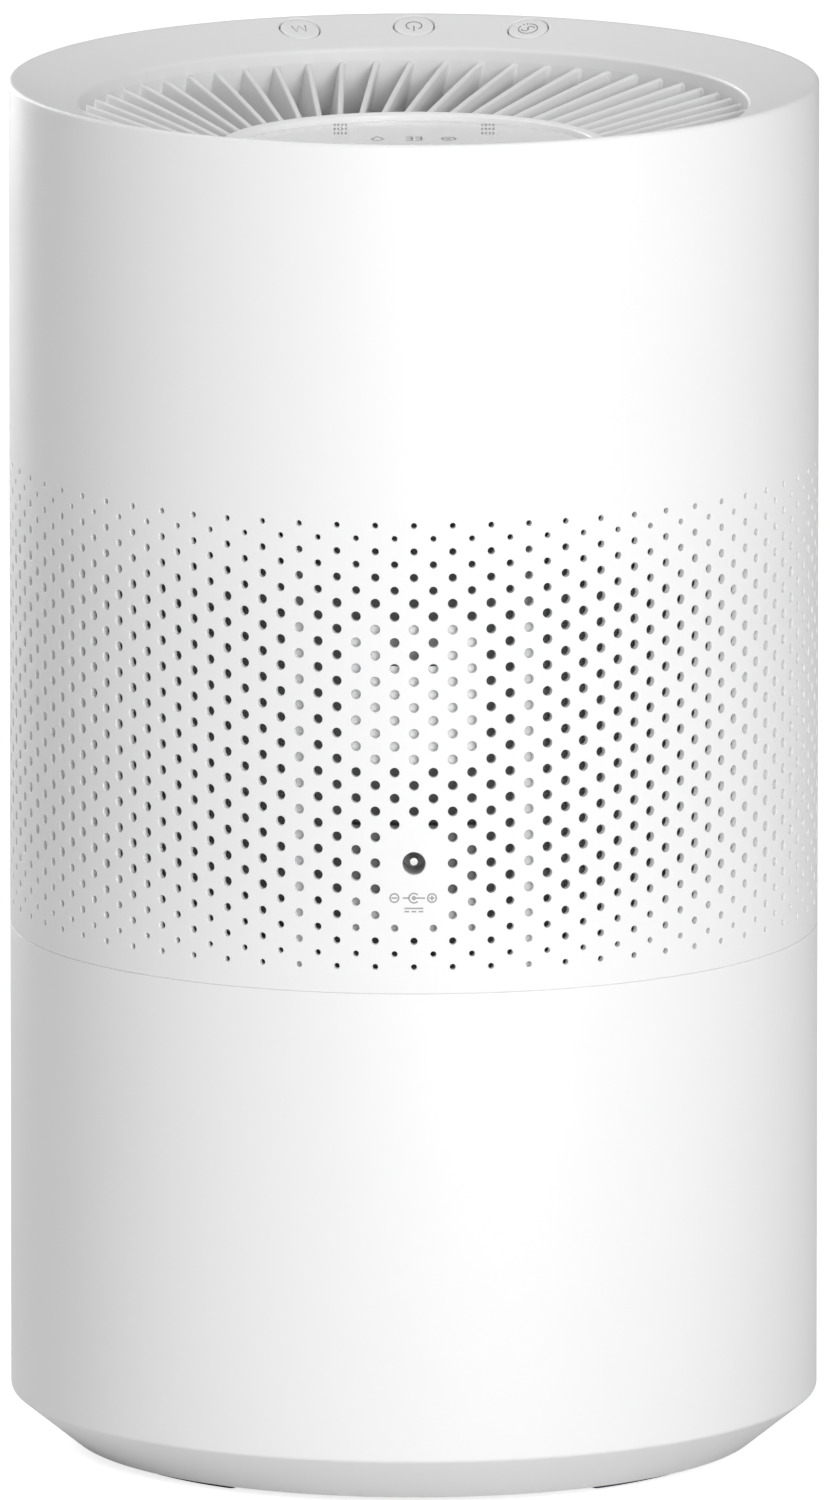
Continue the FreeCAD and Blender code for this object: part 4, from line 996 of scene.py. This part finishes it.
# %% [markdown]
# ## Studio
# The unit stands on a white floor in a white room. A broad soft light stands in front and to the right with
# a weaker one beside it, a third behind on the left draws a bright line down that edge, and a fourth hangs
# high at the back left, where it fills the dish and its far ends. The room gives only a part of the light, so
# the drum falls away to grey at its sides.

# %% Floor and room
floor_mesh = bpy.data.meshes.new("floor")
floor_mesh.from_pydata([(-6, -6, 0), (6, -6, 0), (6, 12, 0), (-6, 12, 0)], [], [[0, 1, 2, 3]])
floor = put_in("floor", floor_mesh)
floor_white, tree, principled = shader("floor_white", 0.9)
principled.inputs["Base Color"].default_value = (0.8, 0.8, 0.8, 1)
glow = node(tree, "ShaderNodeEmission", {"Color": (1, 1, 1, 1)})
seen = node(tree, "ShaderNodeLightPath").outputs["Is Camera Ray"]
tree.links.new(spread(tree, seen, 0.0, 0.75), glow.inputs["Strength"])
both = node(tree, "ShaderNodeAddShader", {0: principled.outputs[0], 1: glow.outputs[0]})
tree.links.new(both.outputs[0], tree.nodes["Material Output"].inputs["Surface"])
floor.data.materials.append(floor_white)

room = bpy.data.worlds.new("studio")
bpy.context.scene.world = room
room.use_nodes = True
tree = room.node_tree
backdrop = tree.nodes["Background"]
seen = node(tree, "ShaderNodeLightPath").outputs["Is Camera Ray"]
tree.links.new(spread(tree, seen, 0.33, 1.1), backdrop.inputs["Strength"])
backdrop.inputs["Color"].default_value = (1, 1, 1, 1)


# %% Lights
def softbox(name, bearing, elevation, distance, width, height, power):
    """A rectangular light that faces the middle of the unit. Bearing 0 is behind the camera."""
    a, e = math.radians(bearing), math.radians(elevation)
    aim = Vector((0, 0, 0.2))
    out = Vector((math.sin(a) * math.cos(e), -math.cos(a) * math.cos(e), math.sin(e)))
    data = bpy.data.lights.new(name, "AREA")
    data.shape, data.size, data.size_y, data.energy = "RECTANGLE", width, height, power
    lamp = put_in(name, data)
    lamp.location = aim + out * distance
    lamp.rotation_euler = out.to_track_quat("Z", "Y").to_euler()
    return lamp


lights = [
    softbox("key_light", bearing=25, elevation=12, distance=3.0, width=1.4, height=2.2, power=59),
    softbox("front_fill", bearing=0, elevation=12, distance=3.0, width=1.4, height=2.2, power=19),
    softbox("edge_light", bearing=-152, elevation=10, distance=2.5, width=0.6, height=2.0, power=26),
    softbox("top_light", bearing=-125, elevation=68, distance=2.2, width=1.6, height=1.6, power=13.5)]
print("lights:", [(o.name, round(o.data.energy)) for o in lights])

# %% [markdown]
# A long lens from ten metres away keeps the drum's sides almost parallel, as studio product views do. The camera
# looks at the back of the unit from ten degrees above it.

# %% Camera
lens = bpy.data.cameras.new("camera")
lens.lens = 850
lens.sensor_width = 36
camera = put_in("camera", lens)
bpy.context.scene.camera = camera
look, aim, away = math.radians(10.497), Vector((0.0003, 0, 0.19551)), 9.9026
camera.location = aim + Vector((0, -math.cos(look), math.sin(look))) * away
camera.rotation_euler = (math.pi / 2 - look, 0, 0)
lens.clip_start, lens.clip_end = 1.0, 60.0
bpy.context.scene.view_settings.view_transform = "Standard"
print("camera at", [round(v, 3) for v in camera.location])
